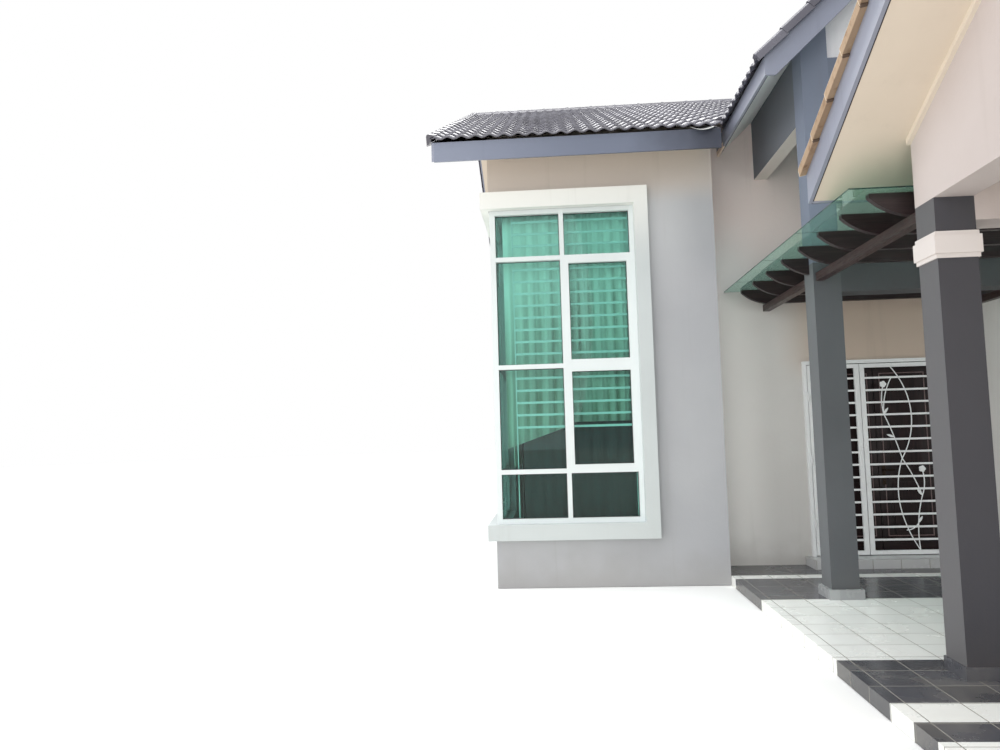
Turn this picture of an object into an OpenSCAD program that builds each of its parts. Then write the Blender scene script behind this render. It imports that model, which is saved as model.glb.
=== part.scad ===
// Single-storey house: two bedroom wings with corner windows, an entry
// portico with a steep gable, a glass canopy and a gabled car porch.
// Millimetres, +Z up, front of the house towards -Y, ground at z = 0.

/* [House body] */
// Overall width of the walls
house_w = 8780; // [8400:10:9600]
// Depth of the walls from front to rear
house_d = 9500; // [9000:10:10500]
// Thickness of every plastered brick wall
wall_t = 150; // [120:5:200]
// Width of the entry recess between the two wings
recess_w = 3770; // [3700:10:3900]
// Depth of the entry recess
recess_d = 605; // [560:5:800]

/* [Floors] */
// Height of the tiled porch floor above the ground
porch_floor_h = 100; // [60:5:150]
// Height of the house floor above the porch floor
house_step_h = 96; // [80:2:130]
// How far the door step stands in front of the entry wall
door_step_run = 335; // [300:5:500]
// How far the door step passes the doorway on each side
door_step_side = 75; // [0:5:150]
// How far the porch floor passes the front and right columns
porch_floor_edge = 40; // [20:5:60]

/* [Main roof] */
// Pitch of the main roof in degrees
main_pitch = 25; // [22:0.5:28]
// Overhang of the eaves, wall face to fascia face
main_eave = 550; // [450:10:650]
// Overhang of the gable ends, wall face to bargeboard face
main_verge = 550; // [450:10:600]
// Height of the eave soffit edge above the porch floor
main_eave_h = 4500; // [4450:10:4700]
// Upright depth of the main fascia
main_fascia_h = 210; // [160:5:240]

/* [Entry gable] */
// Pitch of the steep entry gable in degrees
entry_pitch = 43; // [40:0.5:45]
// Half the width of the gable, centre to fascia face
entry_half = 1680; // [1600:10:1760]
// Height of its eave soffit edge above the porch floor
entry_eave_h = 4810; // [4750:10:4900]
// Upright depth of its fascia
entry_fascia_h = 180; // [150:5:220]
// Upright depth of its bargeboards
entry_board_h = 355; // [300:5:380]
// How far its bargeboards stand in front of the entry columns
entry_verge = 280; // [200:10:350]
// How far the underside of the entry beams lies below the eave soffit edge
entry_beam_drop = 305; // [260:5:360]
// Depth of the front beam
entry_beam_d = 570; // [500:5:620]
// Thickness of the entry side beams
entry_beam_t = 150; // [120:5:200]
// How far the white gable panel stands back from the columns
panel_set = 60; // [40:5:90]

/* [Columns] */
// Width of the square columns
column_w = 250; // [230:5:280]
// Half the distance between the outer faces of the entry columns
entry_col_half = 1260; // [1200:10:1320]
// Front face of the entry columns ahead of the wing walls
entry_col_run = 1220; // [1100:10:1400]
// Height of the pale tiled foot of each entry column
entry_foot_h = 90; // [70:5:120]
// How far that foot stands proud of its column
entry_foot_out = 30; // [15:1:40]
// Height of the dark tile skirting of each car porch column
porch_foot_h = 80; // [60:5:110]
// How far that skirting stands proud of its column
porch_foot_out = 12; // [8:1:18]

/* [Car porch] */
// Rear face of the rear porch columns ahead of the wing walls
porch_gap = 3260; // [3200:10:3400]
// Length of the porch between the outer column faces
porch_len = 5500; // [5200:10:5600]
// Underside of the side beams above the porch floor
porch_beam_h = 3010; // [2960:5:3060]
// Depth of the side beams
porch_beam_d = 350; // [300:10:400]
// How far the rear and front beams hang below the side beams
porch_beam_drop = 155; // [100:5:200]
// Pitch of the porch roof in degrees
porch_pitch = 27; // [25:0.5:29]
// Overhang of its eaves, column face to fascia face
porch_eave = 520; // [450:10:580]
// Overhang of its gable ends, column face to bargeboard face
porch_verge = 520; // [450:10:540]
// Height of its eave soffit edge above the porch floor
porch_eave_h = 3225; // [3200:5:3300]
// Upright depth of its fascia and bargeboards
porch_fascia_h = 230; // [180:5:260]
// Height of the white column band above the porch floor
band_z = 2615; // [2500:5:2650]
// Height of the white column band
band_h = 172; // [140:2:200]
// How far the middle of the band stands proud of the column
band_out = 22; // [14:1:30]
// Height of the thin lip above and below the middle of the band
band_lip = 28; // [20:1:40]

/* [Roof build-up] */
// Thickness of tiles and battens, square to the slope
roof_bed = 60; // [50:5:80]
// How far the tiles pass the fascias and bargeboards
tile_over = 50; // [30:5:55]
// Clearance of bargeboards and ridge tiles from the tile bed
roof_seat = 0.3; // [0.2:0.1:0.5]
// Thickness of fascias and bargeboards
board_t = 25; // [18:1:32]
// Thickness of the soffit sheet
soffit_t = 12; // [9:1:18]
// Outer radius of the half-round ridge tiles
ridge_r = 125; // [110:5:140]
// Wall thickness of the ridge tiles
ridge_t = 18; // [14:1:24]

/* [Glass canopy] */
// Top of the canopy glass above the porch floor
canopy_h = 3175; // [3160:5:3185]
// Thickness of the canopy glass
canopy_glass_t = 10; // [8:1:12]
// Depth of a canopy rafter
rafter_d = 165; // [150:5:170]
// Thickness of a canopy rafter
rafter_t = 50; // [40:2:60]
// Depth of a rafter at its tip
rafter_tip_d = 28; // [20:2:40]
// Length of the curved taper at a rafter tip
rafter_taper = 330; // [280:10:400]
// How far the glass passes the rafter tips
glass_over = 175; // [140:5:200]
// Number of rafters
rafter_n = 8; // [8:1:8]
// Distance of the first rafter from the car porch, to its middle
rafter_near_end = 150; // [120:5:180]
// Distance of the last rafter from the entry wall, to its middle
rafter_far_end = 105; // [80:5:140]
// Width of the long timber purlins
purlin_w = 75; // [60:5:90]
// Depth of the long timber purlins
purlin_d = 75; // [60:5:90]
// How far the purlins lie inside the outer faces of the entry columns
purlin_set = 22; // [10:1:60]
// Open joint between two sheets of canopy glass
glass_joint = 8; // [5:1:12]
// Underside of the beam between the entry columns above the porch floor
link_beam_h = 2815; // [2780:5:2840]
// Depth of the beam between the entry columns
link_beam_d = 300; // [270:10:320]

/* [Corner windows] */
// Width of the front opening, wall corner to reveal
corner_w = 1622; // [1500:2:1700]
// Width of the side opening, wall corner to reveal
corner_side_w = 1500; // [1200:10:1600]
// Sill of the opening above the porch floor
corner_sill_h = 590; // [500:5:650]
// Head of the opening above the porch floor
corner_head_h = 4095; // [4000:5:4110]
// Middle of the lowest transom above the porch floor
corner_row_a = 1154; // [1100:2:1200]
// Middle of the second transom above the porch floor
corner_row_b = 2316; // [2250:2:2380]
// Middle of the highest transom above the porch floor
corner_row_c = 3536; // [3450:2:3600]
// How far the white surround stands out from the front wall
surround_out = 100; // [60:5:120]
// How far it stands out from the side wall
surround_side = 85; // [60:5:110]
// Height of its top band
surround_top = 190; // [150:5:220]
// Height of its bottom band
surround_bottom = 170; // [140:5:200]
// Width of its upright band
surround_band = 150; // [120:5:180]

/* [Frames and glass] */
// Visible width of an outer window frame member
frame_w = 50; // [40:2:60]
// Depth of the window frames
frame_d = 60; // [50:2:70]
// Visible width of a casement sash member
sash_w = 42; // [34:2:50]
// Depth of the casement sashes
sash_d = 50; // [44:1:56]
// How far the window frames sit behind the wall face
frame_set = 10; // [0:2:20]
// Thickness of window glass
glass_t = 6; // [5:1:8]

/* [Plain windows] */
// Width of a plain window in the side and rear walls
plain_w = 1500; // [1200:20:1600]
// Height of a plain window
plain_h = 1350; // [1200:10:1500]
// Sill of the plain windows above the porch floor
plain_sill_h = 1050; // [950:10:1100]
// Distance of the rear side window from the rear wall face
plain_side_a = 2300; // [2200:10:2500]
// Distance between the two side windows, centre to centre
plain_side_step = 3000; // [2600:20:3200]
// Distance of the outer rear windows from the middle of the house
plain_rear_x = 2700; // [2400:20:2900]

/* [Front door] */
// Width of the doorway
door_w = 1672; // [1550:2:1700]
// Height of the doorway above the house floor
door_h = 2224; // [2150:2:2300]
// Width of the door frame members
door_frame_w = 40; // [34:1:50]
// Depth of the steel frame of the grille
grille_frame_d = 50; // [44:2:60]
// How far the grille frame stands out from the entry wall
grille_out = 40; // [20:2:42]
// Thickness of a grille leaf
grille_t = 30; // [26:2:34]
// Share of the doorway that the narrow leaf takes, in percent
narrow_share = 38; // [34:1:44]
// Width of the upright members of a grille leaf
grille_stile = 52; // [45:1:60]
// Height of the top and bottom members of a grille leaf
grille_rail = 45; // [40:1:60]
// Number of bars between the top and bottom members
grille_bars = 14; // [12:1:16]
// Height of a grille bar
grille_bar_h = 22; // [16:1:26]
// Thickness of a grille bar
grille_bar_t = 14; // [12:1:18]
// Half the width of the bars of the grille's scroll
rod_r = 5; // [4:0.5:6]
// Radius of the scroll's blossoms
blossom_r = 38; // [30:1:44]
// Length of the scroll's leaves
sprig_len = 90; // [70:2:100]
// Width of the scroll's leaves
sprig_w = 26; // [20:1:32]
// Thickness of the scroll
scroll_t = 6; // [4:0.5:7]
// Thickness of a timber leaf
timber_t = 42; // [38:1:46]
// Width of the stiles and rails round the panels of a timber leaf
timber_stile = 120; // [100:5:140]
// Height of the middle rail of a timber leaf above the house floor
timber_lock_h = 900; // [800:10:1000]
// Width of the groove round a raised panel
panel_groove = 32; // [24:2:44]
// Depth of that groove
panel_groove_d = 9; // [6:1:12]
// Clear gap round every leaf
leaf_gap = 8; // [6:1:12]
// Radius of the hinge knuckles
hinge_r = 9; // [8:0.5:11]
// Length of a hinge, two knuckles together
hinge_len = 90; // [70:5:120]
// Width of a hinge plate
hinge_plate_w = 28; // [20:1:32]
// Thickness of a hinge plate
hinge_plate_t = 5; // [4:0.5:7]

/* [Hidden] */
$fn = 48;

// Colours as the photograph shows them
c_wall = "#b6babd";
c_entry_wall = "#a9aba8";
c_floor = "#bfc4c0";
c_tile = "#4a4a52";
c_board = "#959cae";
c_soffit = "#cec5b4";
c_beam = "#6e7686";
c_column = "#565a60";
c_white = "#f0eeea";
c_porch_wall = "#cab9a9";
c_timber = "#3c2422";
c_green_glass = "#64a088";
c_frame = "#e6eaeb";
c_door = "#4a2a24";

// Levels and widths that follow from the sizes above
half_w = house_w / 2;
half_recess = recess_w / 2;
floor_z = porch_floor_h;
house_z = floor_z + house_step_h;
high = 12000;
far = 20000;
pin_gap = 0.3;

// Main roof: reference line runs along the soffit at the fascia face
main_half = house_d / 2 + main_eave;
main_mid = house_d / 2;
main_z = floor_z + main_eave_h;
main_bed_v = roof_bed / cos(main_pitch);
verge_x = half_w + main_verge;

// Entry gable
entry_z = floor_z + entry_eave_h;
entry_bed_v = roof_bed / cos(entry_pitch);
entry_front = -entry_col_run - entry_verge;
entry_beam_z = entry_z - entry_beam_drop;
door_wall_y = recess_d;

// Car porch, whose right side lines up with the right wall of the house
porch_left = -entry_col_half;
porch_right = half_w;
porch_rear = -porch_gap;
porch_front = -porch_gap - porch_len;
porch_mid = (porch_rear + porch_front) / 2;
porch_half = porch_len / 2 + porch_eave;
porch_z = floor_z + porch_eave_h;
porch_bed_v = roof_bed / cos(porch_pitch);
porch_beam_z = floor_z + porch_beam_h;
porch_beam_top = porch_beam_z + porch_beam_d;

// The origin lies under the middle of everything
y_low = porch_mid - porch_half - tile_over;
y_high = main_mid + main_half + tile_over;

module place() {
    translate([0, -(y_low + y_high) / 2, 0]) children();
}

module both() {
    children();
    mirror([1, 0, 0]) children();
}

module block(low, top) {
    translate(low) cube(top - low);
}

// An outline in Y and Z carried along X, and one in X and Z carried along Y
module along_x(a, b) {
    translate([a, 0, 0]) rotate([90, 0, 90]) linear_extrude(b - a) children();
}

module along_y(a, b) {
    translate([0, b, 0]) rotate([90, 0, 0]) linear_extrude(b - a) children();
}

// Outline of one slope from its eave at -half to the ridge at 0: the strip
// between two heights above the soffit line, with the eave end plumb
module slope_strip(half, base, pitch, low, top, over = 0) {
    rise = half * tan(pitch);
    drop = over * tan(pitch);
    polygon([[-half - over, base - drop + low], [0, base + rise + low],
             [0, base + rise + top], [-half - over, base - drop + top]]);
}

// Everything under a roof's tile bed (top = 0) or under its tiles
module under_slopes(half, base, pitch, top, over = 0) {
    rise = half * tan(pitch);
    drop = over * tan(pitch);
    polygon([[-half - over, 0], [half + over, 0], [half + over, base - drop + top],
             [0, base + rise + top], [-half - over, base - drop + top]]);
}

module under_main(top = main_fascia_h) {
    along_x(-far, far) translate([main_mid, 0])
        under_slopes(main_half, main_z, main_pitch, top, tile_over);
}

module under_entry(top = entry_fascia_h, y0 = -far, y1 = far) {
    along_y(y0, y1) under_slopes(entry_half, entry_z, entry_pitch, top, tile_over);
}

module under_porch(top = porch_fascia_h) {
    along_x(-far, far) translate([porch_mid, 0])
        under_slopes(porch_half, porch_z, porch_pitch, top, tile_over);
}

// Holes in the outer walls
module corner_hole() {
    block([-half_w - wall_t, -wall_t, floor_z + corner_sill_h],
          [-half_w + corner_w, wall_t * 2, floor_z + corner_head_h]);
    block([-half_w - wall_t, -wall_t, floor_z + corner_sill_h],
          [-half_w + wall_t * 2, corner_side_w, floor_z + corner_head_h]);
}

side_window_y = [house_d - plain_side_a, house_d - plain_side_a - plain_side_step];
rear_window_x = [-plain_rear_x, 0, plain_rear_x];
plain_z = floor_z + plain_sill_h;

module side_holes() {
    for (y = side_window_y)
        block([-half_w - wall_t, y - plain_w / 2, plain_z],
              [-half_w + wall_t * 2, y + plain_w / 2, plain_z + plain_h]);
}

// Walls of the two wings
module wing_front_wall() {
    difference() {
        intersection() {
            block([-half_w + wall_t, 0, 0], [-half_recess, wall_t, high]);
            under_main();
        }
        corner_hole();
    }
}

module bedroom_front_wall() {
    color(c_wall) place() wing_front_wall();
}

module living_front_wall() {
    color(c_wall) place() mirror([1, 0, 0]) wing_front_wall();
}

module side_wall() {
    difference() {
        intersection() {
            block([-half_w, 0, 0], [-half_w + wall_t, house_d, high]);
            under_main();
        }
        corner_hole();
        side_holes();
    }
}

module left_side_wall() {
    color(c_wall) place() side_wall();
}

module right_side_wall() {
    color(c_wall) place() mirror([1, 0, 0]) side_wall();
}

module return_wall() {
    intersection() {
        block([-half_recess - wall_t, wall_t, 0],
              [-half_recess, door_wall_y + wall_t, high]);
        under_main();
    }
}

module bedroom_return_wall() {
    color(c_entry_wall) place() return_wall();
}

module living_return_wall() {
    color(c_entry_wall) place() mirror([1, 0, 0]) return_wall();
}

module under_entry_roofs() {
    under_main();
    under_entry();
}

module entry_wall_part(x0, x1, z0) {
    intersection() {
        block([x0, door_wall_y, z0], [x1, door_wall_y + wall_t, high]);
        union() under_entry_roofs();
    }
}

module entry_wall_left() {
    color(c_entry_wall) place() entry_wall_part(-half_recess, -door_w / 2, 0);
}

module entry_wall_right() {
    color(c_entry_wall) place() entry_wall_part(door_w / 2, half_recess, 0);
}

module entry_wall_over_door() {
    color(c_entry_wall) place() entry_wall_part(-door_w / 2, door_w / 2, house_z + door_h);
}

module rear_wall() {
    color(c_wall) place() difference() {
        intersection() {
            block([-half_w + wall_t, house_d - wall_t, 0], [half_w - wall_t, house_d, high]);
            under_main();
        }
        for (x = rear_window_x)
            block([x - plain_w / 2, house_d - wall_t * 2, plain_z],
                  [x + plain_w / 2, house_d + wall_t, plain_z + plain_h]);
    }
}

// Floors
module house_floor() {
    color(c_floor) place() difference() {
        block([-half_w + wall_t, wall_t, 0], [half_w - wall_t, house_d - wall_t, house_z]);
        block([-half_recess - wall_t, 0, -1], [-door_w / 2, door_wall_y + wall_t, high]);
        block([door_w / 2, 0, -1], [half_recess + wall_t, door_wall_y + wall_t, high]);
        block([-half_recess, 0, -1], [half_recess, door_wall_y, high]);
    }
}

module porch_floor() {
    color(c_floor) place() {
        block([-half_recess, porch_front - porch_floor_edge, 0],
              [porch_right + porch_floor_edge, 0, floor_z]);
        block([-half_recess, -1, 0], [half_recess, door_wall_y, floor_z]);
    }
}

module door_step() {
    half = door_w / 2 + door_step_side;
    color(c_floor) place() block([-half, door_wall_y - door_step_run, floor_z],
                                 [half, door_wall_y, house_z]);
}

// Main roof. The front slope stops beside the entry gable, whose own slopes
// run back over it and are cut off along the valleys.
entry_top_z = entry_z + entry_fascia_h + entry_bed_v;
valley_y = (entry_top_z - main_z - main_fascia_h - main_bed_v) / tan(main_pitch) - main_eave;

module main_slope() {
    along_x(-verge_x - tile_over, verge_x + tile_over) translate([main_mid, 0])
        slope_strip(main_half, main_z, main_pitch, main_fascia_h,
                    main_fascia_h + main_bed_v, tile_over);
}

module main_roof_front() {
    color(c_tile) place() difference() {
        main_slope();
        block([-half_recess, -far, 0], [half_recess, valley_y, high]);
        under_entry(entry_fascia_h + entry_bed_v, -far, door_wall_y + wall_t);
    }
}

module main_roof_rear() {
    color(c_tile) place() translate([0, house_d, 0]) mirror([0, 1, 0]) main_slope();
}

module main_fascias() {
    color(c_board) place() {
        both() block([-verge_x + board_t, -main_eave, main_z],
                     [-half_recess, -main_eave + board_t, main_z + main_fascia_h]);
        block([-verge_x + board_t, house_d + main_eave - board_t, main_z],
              [verge_x - board_t, house_d + main_eave, main_z + main_fascia_h]);
    }
}

module main_bargeboards() {
    color(c_board) place() both() {
        along_x(-verge_x, -verge_x + board_t) translate([main_mid, 0]) {
            slope_strip(main_half, main_z, main_pitch, 0, main_fascia_h - roof_seat);
            mirror([1, 0])
                slope_strip(main_half, main_z, main_pitch, 0, main_fascia_h - roof_seat);
        }
        // Closing board of the eave box beside the entry recess
        intersection() {
            along_x(-half_recess - board_t, -half_recess) translate([main_mid, 0])
                slope_strip(main_half, main_z, main_pitch, 0, main_fascia_h - roof_seat);
            block([-far, -main_eave + board_t, 0], [0, 0, high]);
        }
    }
}

module main_soffits() {
    inner = verge_x - board_t;
    color(c_soffit) place() difference() {
        intersection() {
            along_x(-inner, inner) translate([main_mid, 0]) {
                slope_strip(main_half, main_z, main_pitch, 0, soffit_t);
                mirror([1, 0]) slope_strip(main_half, main_z, main_pitch, 0, soffit_t);
            }
            block([-far, -main_eave + board_t, 0],
                  [far, house_d + main_eave - board_t, high]);
        }
        block([-half_w, 0, 0], [half_w, house_d, high]);
        block([-half_recess - board_t, -far, 0], [half_recess + board_t, house_d / 2, high]);
    }
}

// Entry gable roof
module entry_slope() {
    difference() {
        along_y(entry_front - tile_over, main_mid)
            slope_strip(entry_half, entry_z, entry_pitch, entry_fascia_h,
                        entry_fascia_h + entry_bed_v, tile_over);
        under_main(main_fascia_h + main_bed_v);
    }
}

module entry_roof_left() {
    color(c_tile) place() entry_slope();
}

module entry_roof_right() {
    color(c_tile) place() mirror([1, 0, 0]) entry_slope();
}

module entry_fascias() {
    color(c_board) place() both()
        block([-entry_half, entry_front + board_t, entry_z],
              [-entry_half + board_t, door_wall_y, entry_z + entry_fascia_h]);
}

// Bargeboards hang lower than the soffit and are cut level at their feet
module entry_bargeboards() {
    top = entry_fascia_h - roof_seat;
    low = entry_fascia_h + entry_bed_v - entry_board_h;
    color(c_board) place() along_y(entry_front, entry_front + board_t) difference() {
        union() {
            slope_strip(entry_half, entry_z, entry_pitch, low, top);
            mirror([1, 0]) slope_strip(entry_half, entry_z, entry_pitch, low, top);
        }
        translate([-far, 0]) square([far * 2, entry_z]);
    }
}

module entry_soffits() {
    color(c_soffit) place() both() {
        difference() {
            along_y(entry_front + board_t, door_wall_y)
                slope_strip(entry_half, entry_z, entry_pitch, 0, soffit_t);
            block([-far, -far, 0], [-entry_half + board_t, far, high]);
            block([-entry_col_half, -far, 0], [far, far, high]);
        }
        difference() {
            along_y(entry_front + board_t, -entry_col_run)
                slope_strip(entry_half, entry_z, entry_pitch, 0, soffit_t);
            block([-far, -far, 0], [-entry_col_half, far, high]);
        }
    }
}

entry_back = -entry_col_run + column_w;

module entry_side_beams() {
    color(c_beam) place() both() intersection() {
        block([-entry_col_half, entry_back, entry_beam_z],
              [-entry_col_half + entry_beam_t, door_wall_y, high]);
        under_entry();
    }
}

module entry_front_beam() {
    inner = entry_col_half - column_w;
    color(c_beam) place() block([-inner, -entry_col_run, entry_beam_z],
                                [inner, entry_back, entry_beam_z + entry_beam_d]);
}

// Foot round a column that stands with its low corner at x, y
module foot(x, y, out, h) {
    difference() {
        block([x - out, y - out, floor_z], [x + column_w + out, y + column_w + out, floor_z + h]);
        block([x, y, floor_z - 1], [x + column_w, y + column_w, floor_z + h + 1]);
    }
}

module entry_columns() {
    color(c_column) place() both() intersection() {
        block([-entry_col_half, -entry_col_run, floor_z],
              [-entry_col_half + column_w, entry_back, high]);
        under_entry();
    }
}

module entry_column_feet() {
    color(c_floor) place() both()
        foot(-entry_col_half, -entry_col_run, entry_foot_out, entry_foot_h);
}

// White panel that fills the gable behind the portal
module entry_gable_panel() {
    inner = entry_col_half - column_w;
    color(c_white) place() intersection() {
        block([-inner, -entry_col_run + panel_set, entry_beam_z + entry_beam_d],
              [inner, entry_back, high]);
        under_entry();
    }
}

module link_beam() {
    inner = entry_col_half - column_w;
    color(c_column) place() block([-inner, -entry_col_run, floor_z + link_beam_h],
                                  [inner, entry_back, floor_z + link_beam_h + link_beam_d]);
}

// Car porch
porch_col_x = [porch_left, porch_right - column_w];
porch_col_y = [porch_rear - column_w, porch_front];

module porch_columns() {
    color(c_column) place() for (x = porch_col_x, y = porch_col_y)
        block([x, y, floor_z], [x + column_w, y + column_w, porch_beam_z]);
}

module porch_column_feet() {
    color(c_column) place() for (x = porch_col_x, y = porch_col_y)
        foot(x, y, porch_foot_out, porch_foot_h);
}

// Moulded band: a tall middle fillet between two thinner ones
module band_ring(x, y, out, z0, z1) {
    difference() {
        block([x - out, y - out, z0], [x + column_w + out, y + column_w + out, z1]);
        block([x, y, z0 - 1], [x + column_w, y + column_w, z1 + 1]);
    }
}

module porch_column_bands() {
    z = floor_z + band_z;
    color(c_white) place() for (x = porch_col_x, y = porch_col_y) {
        band_ring(x, y, band_out / 2, z, z + band_h);
        band_ring(x, y, band_out, z + band_lip, z + band_h - band_lip);
    }
}

module porch_side_beams() {
    color(c_porch_wall) place() for (x = porch_col_x)
        block([x, porch_front, porch_beam_z], [x + column_w, porch_rear, porch_beam_top]);
}

module porch_cross_beams() {
    color(c_porch_wall) place() for (y = porch_col_y) intersection() {
        block([porch_left + column_w, y, porch_beam_z - porch_beam_drop],
              [porch_right - column_w, y + column_w, high]);
        under_porch();
    }
}

module porch_gable_walls() {
    color(c_porch_wall) place() for (x = porch_col_x) intersection() {
        block([x, porch_front, porch_beam_top], [x + column_w, porch_rear, high]);
        under_porch();
    }
}

module porch_slope() {
    along_x(porch_left - porch_verge - tile_over, porch_right + porch_verge + tile_over)
        translate([porch_mid, 0])
            slope_strip(porch_half, porch_z, porch_pitch, porch_fascia_h,
                        porch_fascia_h + porch_bed_v, tile_over);
}

module porch_roof_front() {
    color(c_tile) place() porch_slope();
}

module porch_roof_rear() {
    color(c_tile) place() translate([0, porch_mid * 2, 0]) mirror([0, 1, 0]) porch_slope();
}

module porch_fascias() {
    x0 = porch_left - porch_verge + board_t;
    x1 = porch_right + porch_verge - board_t;
    color(c_board) place() for (y = [porch_mid - porch_half, porch_mid + porch_half - board_t])
        block([x0, y, porch_z], [x1, y + board_t, porch_z + porch_fascia_h]);
}

module porch_bargeboards() {
    color(c_board) place() for (x = [porch_left - porch_verge, porch_right + porch_verge - board_t])
        along_x(x, x + board_t) translate([porch_mid, 0]) {
            slope_strip(porch_half, porch_z, porch_pitch, 0, porch_fascia_h - roof_seat);
            mirror([1, 0])
                slope_strip(porch_half, porch_z, porch_pitch, 0, porch_fascia_h - roof_seat);
        }
}

module porch_soffits() {
    x0 = porch_left - porch_verge + board_t;
    x1 = porch_right + porch_verge - board_t;
    color(c_soffit) place() difference() {
        intersection() {
            along_x(x0, x1) translate([porch_mid, 0]) {
                slope_strip(porch_half, porch_z, porch_pitch, 0, soffit_t);
                mirror([1, 0]) slope_strip(porch_half, porch_z, porch_pitch, 0, soffit_t);
            }
            block([-far, porch_mid - porch_half + board_t, 0],
                  [far, porch_mid + porch_half - board_t, high]);
        }
        block([porch_left, porch_front, 0], [porch_right, porch_rear, high]);
    }
}

module porch_ceiling() {
    color(c_soffit) place()
        block([porch_left + column_w, porch_front + column_w, porch_beam_top - soffit_t],
              [porch_right - column_w, porch_rear - column_w, porch_beam_top]);
}

// Half-round ridge tiles bedded on the top of both slopes
module ridge_outline(half, base, pitch, top) {
    peak = base + half * tan(pitch) + top;
    difference() {
        translate([0, peak - ridge_r * sin(pitch) / 2]) circle(ridge_r, $fn = 64);
        under_slopes(half, base, pitch, top + roof_seat);
    }
}

module roof_ridges() {
    color(c_tile) place() {
        along_x(-verge_x - tile_over, verge_x + tile_over) translate([main_mid, 0])
            ridge_outline(main_half, main_z, main_pitch, main_fascia_h + main_bed_v);
        along_x(porch_left - porch_verge - tile_over, porch_right + porch_verge + tile_over)
            translate([porch_mid, 0])
                ridge_outline(porch_half, porch_z, porch_pitch, porch_fascia_h + porch_bed_v);
        difference() {
            along_y(entry_front - tile_over, main_mid)
                ridge_outline(entry_half, entry_z, entry_pitch, entry_fascia_h + entry_bed_v);
            under_main(main_fascia_h + main_bed_v);
        }
    }
}

// Glass canopy on timber rafters with curved tips
glass_top = floor_z + canopy_h;
rafter_top = glass_top - canopy_glass_t;
rafter_z = rafter_top - rafter_d;
rafter_tip_x = entry_half - glass_over;
canopy_near = porch_rear;
canopy_far = door_wall_y;
rafter_first = canopy_near + rafter_near_end;
rafter_last = canopy_far - rafter_far_end;
rafter_col = -entry_col_run + column_w / 2;
rafter_front_n = rafter_n / 2;
rafter_front_step = (rafter_col - rafter_first) / rafter_front_n;
rafter_back_step = (rafter_last - rafter_col) / (rafter_n - rafter_front_n - 1);
rafter_y = [for (i = [0:rafter_n - 1])
    i < rafter_front_n ? rafter_first + i * rafter_front_step
                       : rafter_col + (i - rafter_front_n) * rafter_back_step];

// One tapered end: the underside is an arc tangent to the level part
module rafter_outline(length) {
    rise = rafter_d - rafter_tip_d;
    r = (rafter_taper * rafter_taper + rise * rise) / (2 * rise);
    difference() {
        translate([0, rafter_z]) square([length, rafter_d]);
        difference() {
            translate([-1, rafter_z - 1]) square([rafter_taper + 1, rise + 1]);
            translate([rafter_taper, rafter_z + r]) circle(r, $fn = 96);
        }
    }
}

module rafter_half(y, length) {
    translate([-rafter_tip_x, 0, 0])
        along_y(y - rafter_t / 2, y + rafter_t / 2) rafter_outline(length);
}

module canopy_rafters() {
    color(c_timber) place() {
        for (i = [0:rafter_n - 1])
            if (i == rafter_front_n)
                both() rafter_half(rafter_y[i], rafter_tip_x - entry_col_half);
            else
                both() rafter_half(rafter_y[i], rafter_tip_x);
    }
}

module canopy_purlins() {
    x0 = -entry_col_half + purlin_set;
    color(c_timber) place() both() {
        block([x0, canopy_near, rafter_z - purlin_d],
              [x0 + purlin_w, -entry_col_run, rafter_z]);
        block([x0, entry_back, rafter_z - purlin_d],
              [x0 + purlin_w, canopy_far, rafter_z]);
    }
}

// Glass sheets meet over the third, fifth and seventh rafter and over the
// middle of the canopy, with an open joint, and are notched round the columns
glass_lines = [canopy_near + glass_joint, rafter_y[2], rafter_y[4], rafter_y[6],
               canopy_far - glass_joint];

module canopy_glass() {
    c = glass_joint;
    color(c_green_glass, 0.6) place() both() difference() {
        for (i = [0:len(glass_lines) - 2])
            block([-entry_half, glass_lines[i] + c / 2, rafter_top],
                  [-c / 2, glass_lines[i + 1] - c / 2, glass_top]);
        block([-entry_col_half - c, -entry_col_run - c, 0],
              [-entry_col_half + column_w + c, entry_back + c, high]);
    }
}

// White surround that wraps the wall corner
module surround() {
    z0 = floor_z + corner_sill_h;
    z1 = floor_z + corner_head_h;
    low = z0 - surround_bottom;
    top = z1 + surround_top;
    x_end = -half_w + corner_w + surround_band;
    y_end = corner_side_w + surround_band;
    difference() {
        union() {
            block([-half_w - surround_side, -surround_out, low], [x_end, 0, top]);
            block([-half_w - surround_side, -surround_out, low], [-half_w, y_end, top]);
        }
        block([-half_w - surround_side - 1, -surround_out - 1, z0],
              [-half_w + corner_w, 1, z1]);
        block([-half_w - surround_side - 1, -surround_out - 1, z0],
              [-half_w + 1, corner_side_w, z1]);
    }
}

module window_surrounds() {
    color(c_white) place() both() surround();
}

// Frames: members drawn in the X and Z plane between two corners
module member(x0, z0, x1, z1, d = frame_d, set = frame_set) {
    block([x0, set, z0], [x1, set + d, z1]);
}

module ring(x0, z0, x1, z1, w, d, set) {
    difference() {
        member(x0, z0, x1, z1, d, set);
        translate([0, -1, 0]) member(x0 + w, z0 + w, x1 - w, z1 - w, d + 2, set);
    }
}

corner_rows = [floor_z + corner_row_a, floor_z + corner_row_b, floor_z + corner_row_c];
corner_low = floor_z + corner_sill_h;
corner_top = floor_z + corner_head_h;

// One face of a corner window, with a mullion in the middle, transoms, and
// casement sashes in rows two and three of the part beyond the mullion
module corner_face(length) {
    w = frame_w;
    mid = length / 2;
    ring(0, corner_low, length, corner_top, w, frame_d, 0);
    member(mid - w / 2, corner_low, mid + w / 2, corner_top, frame_d, 0);
    for (z = corner_rows)
        member(0, z - w / 2, length, z + w / 2, frame_d, 0);
    for (i = [0, 1])
        ring(mid + w / 2, corner_rows[i] + w / 2, length - w, corner_rows[i + 1] - w / 2,
             sash_w, sash_d, 0);
}

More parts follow.
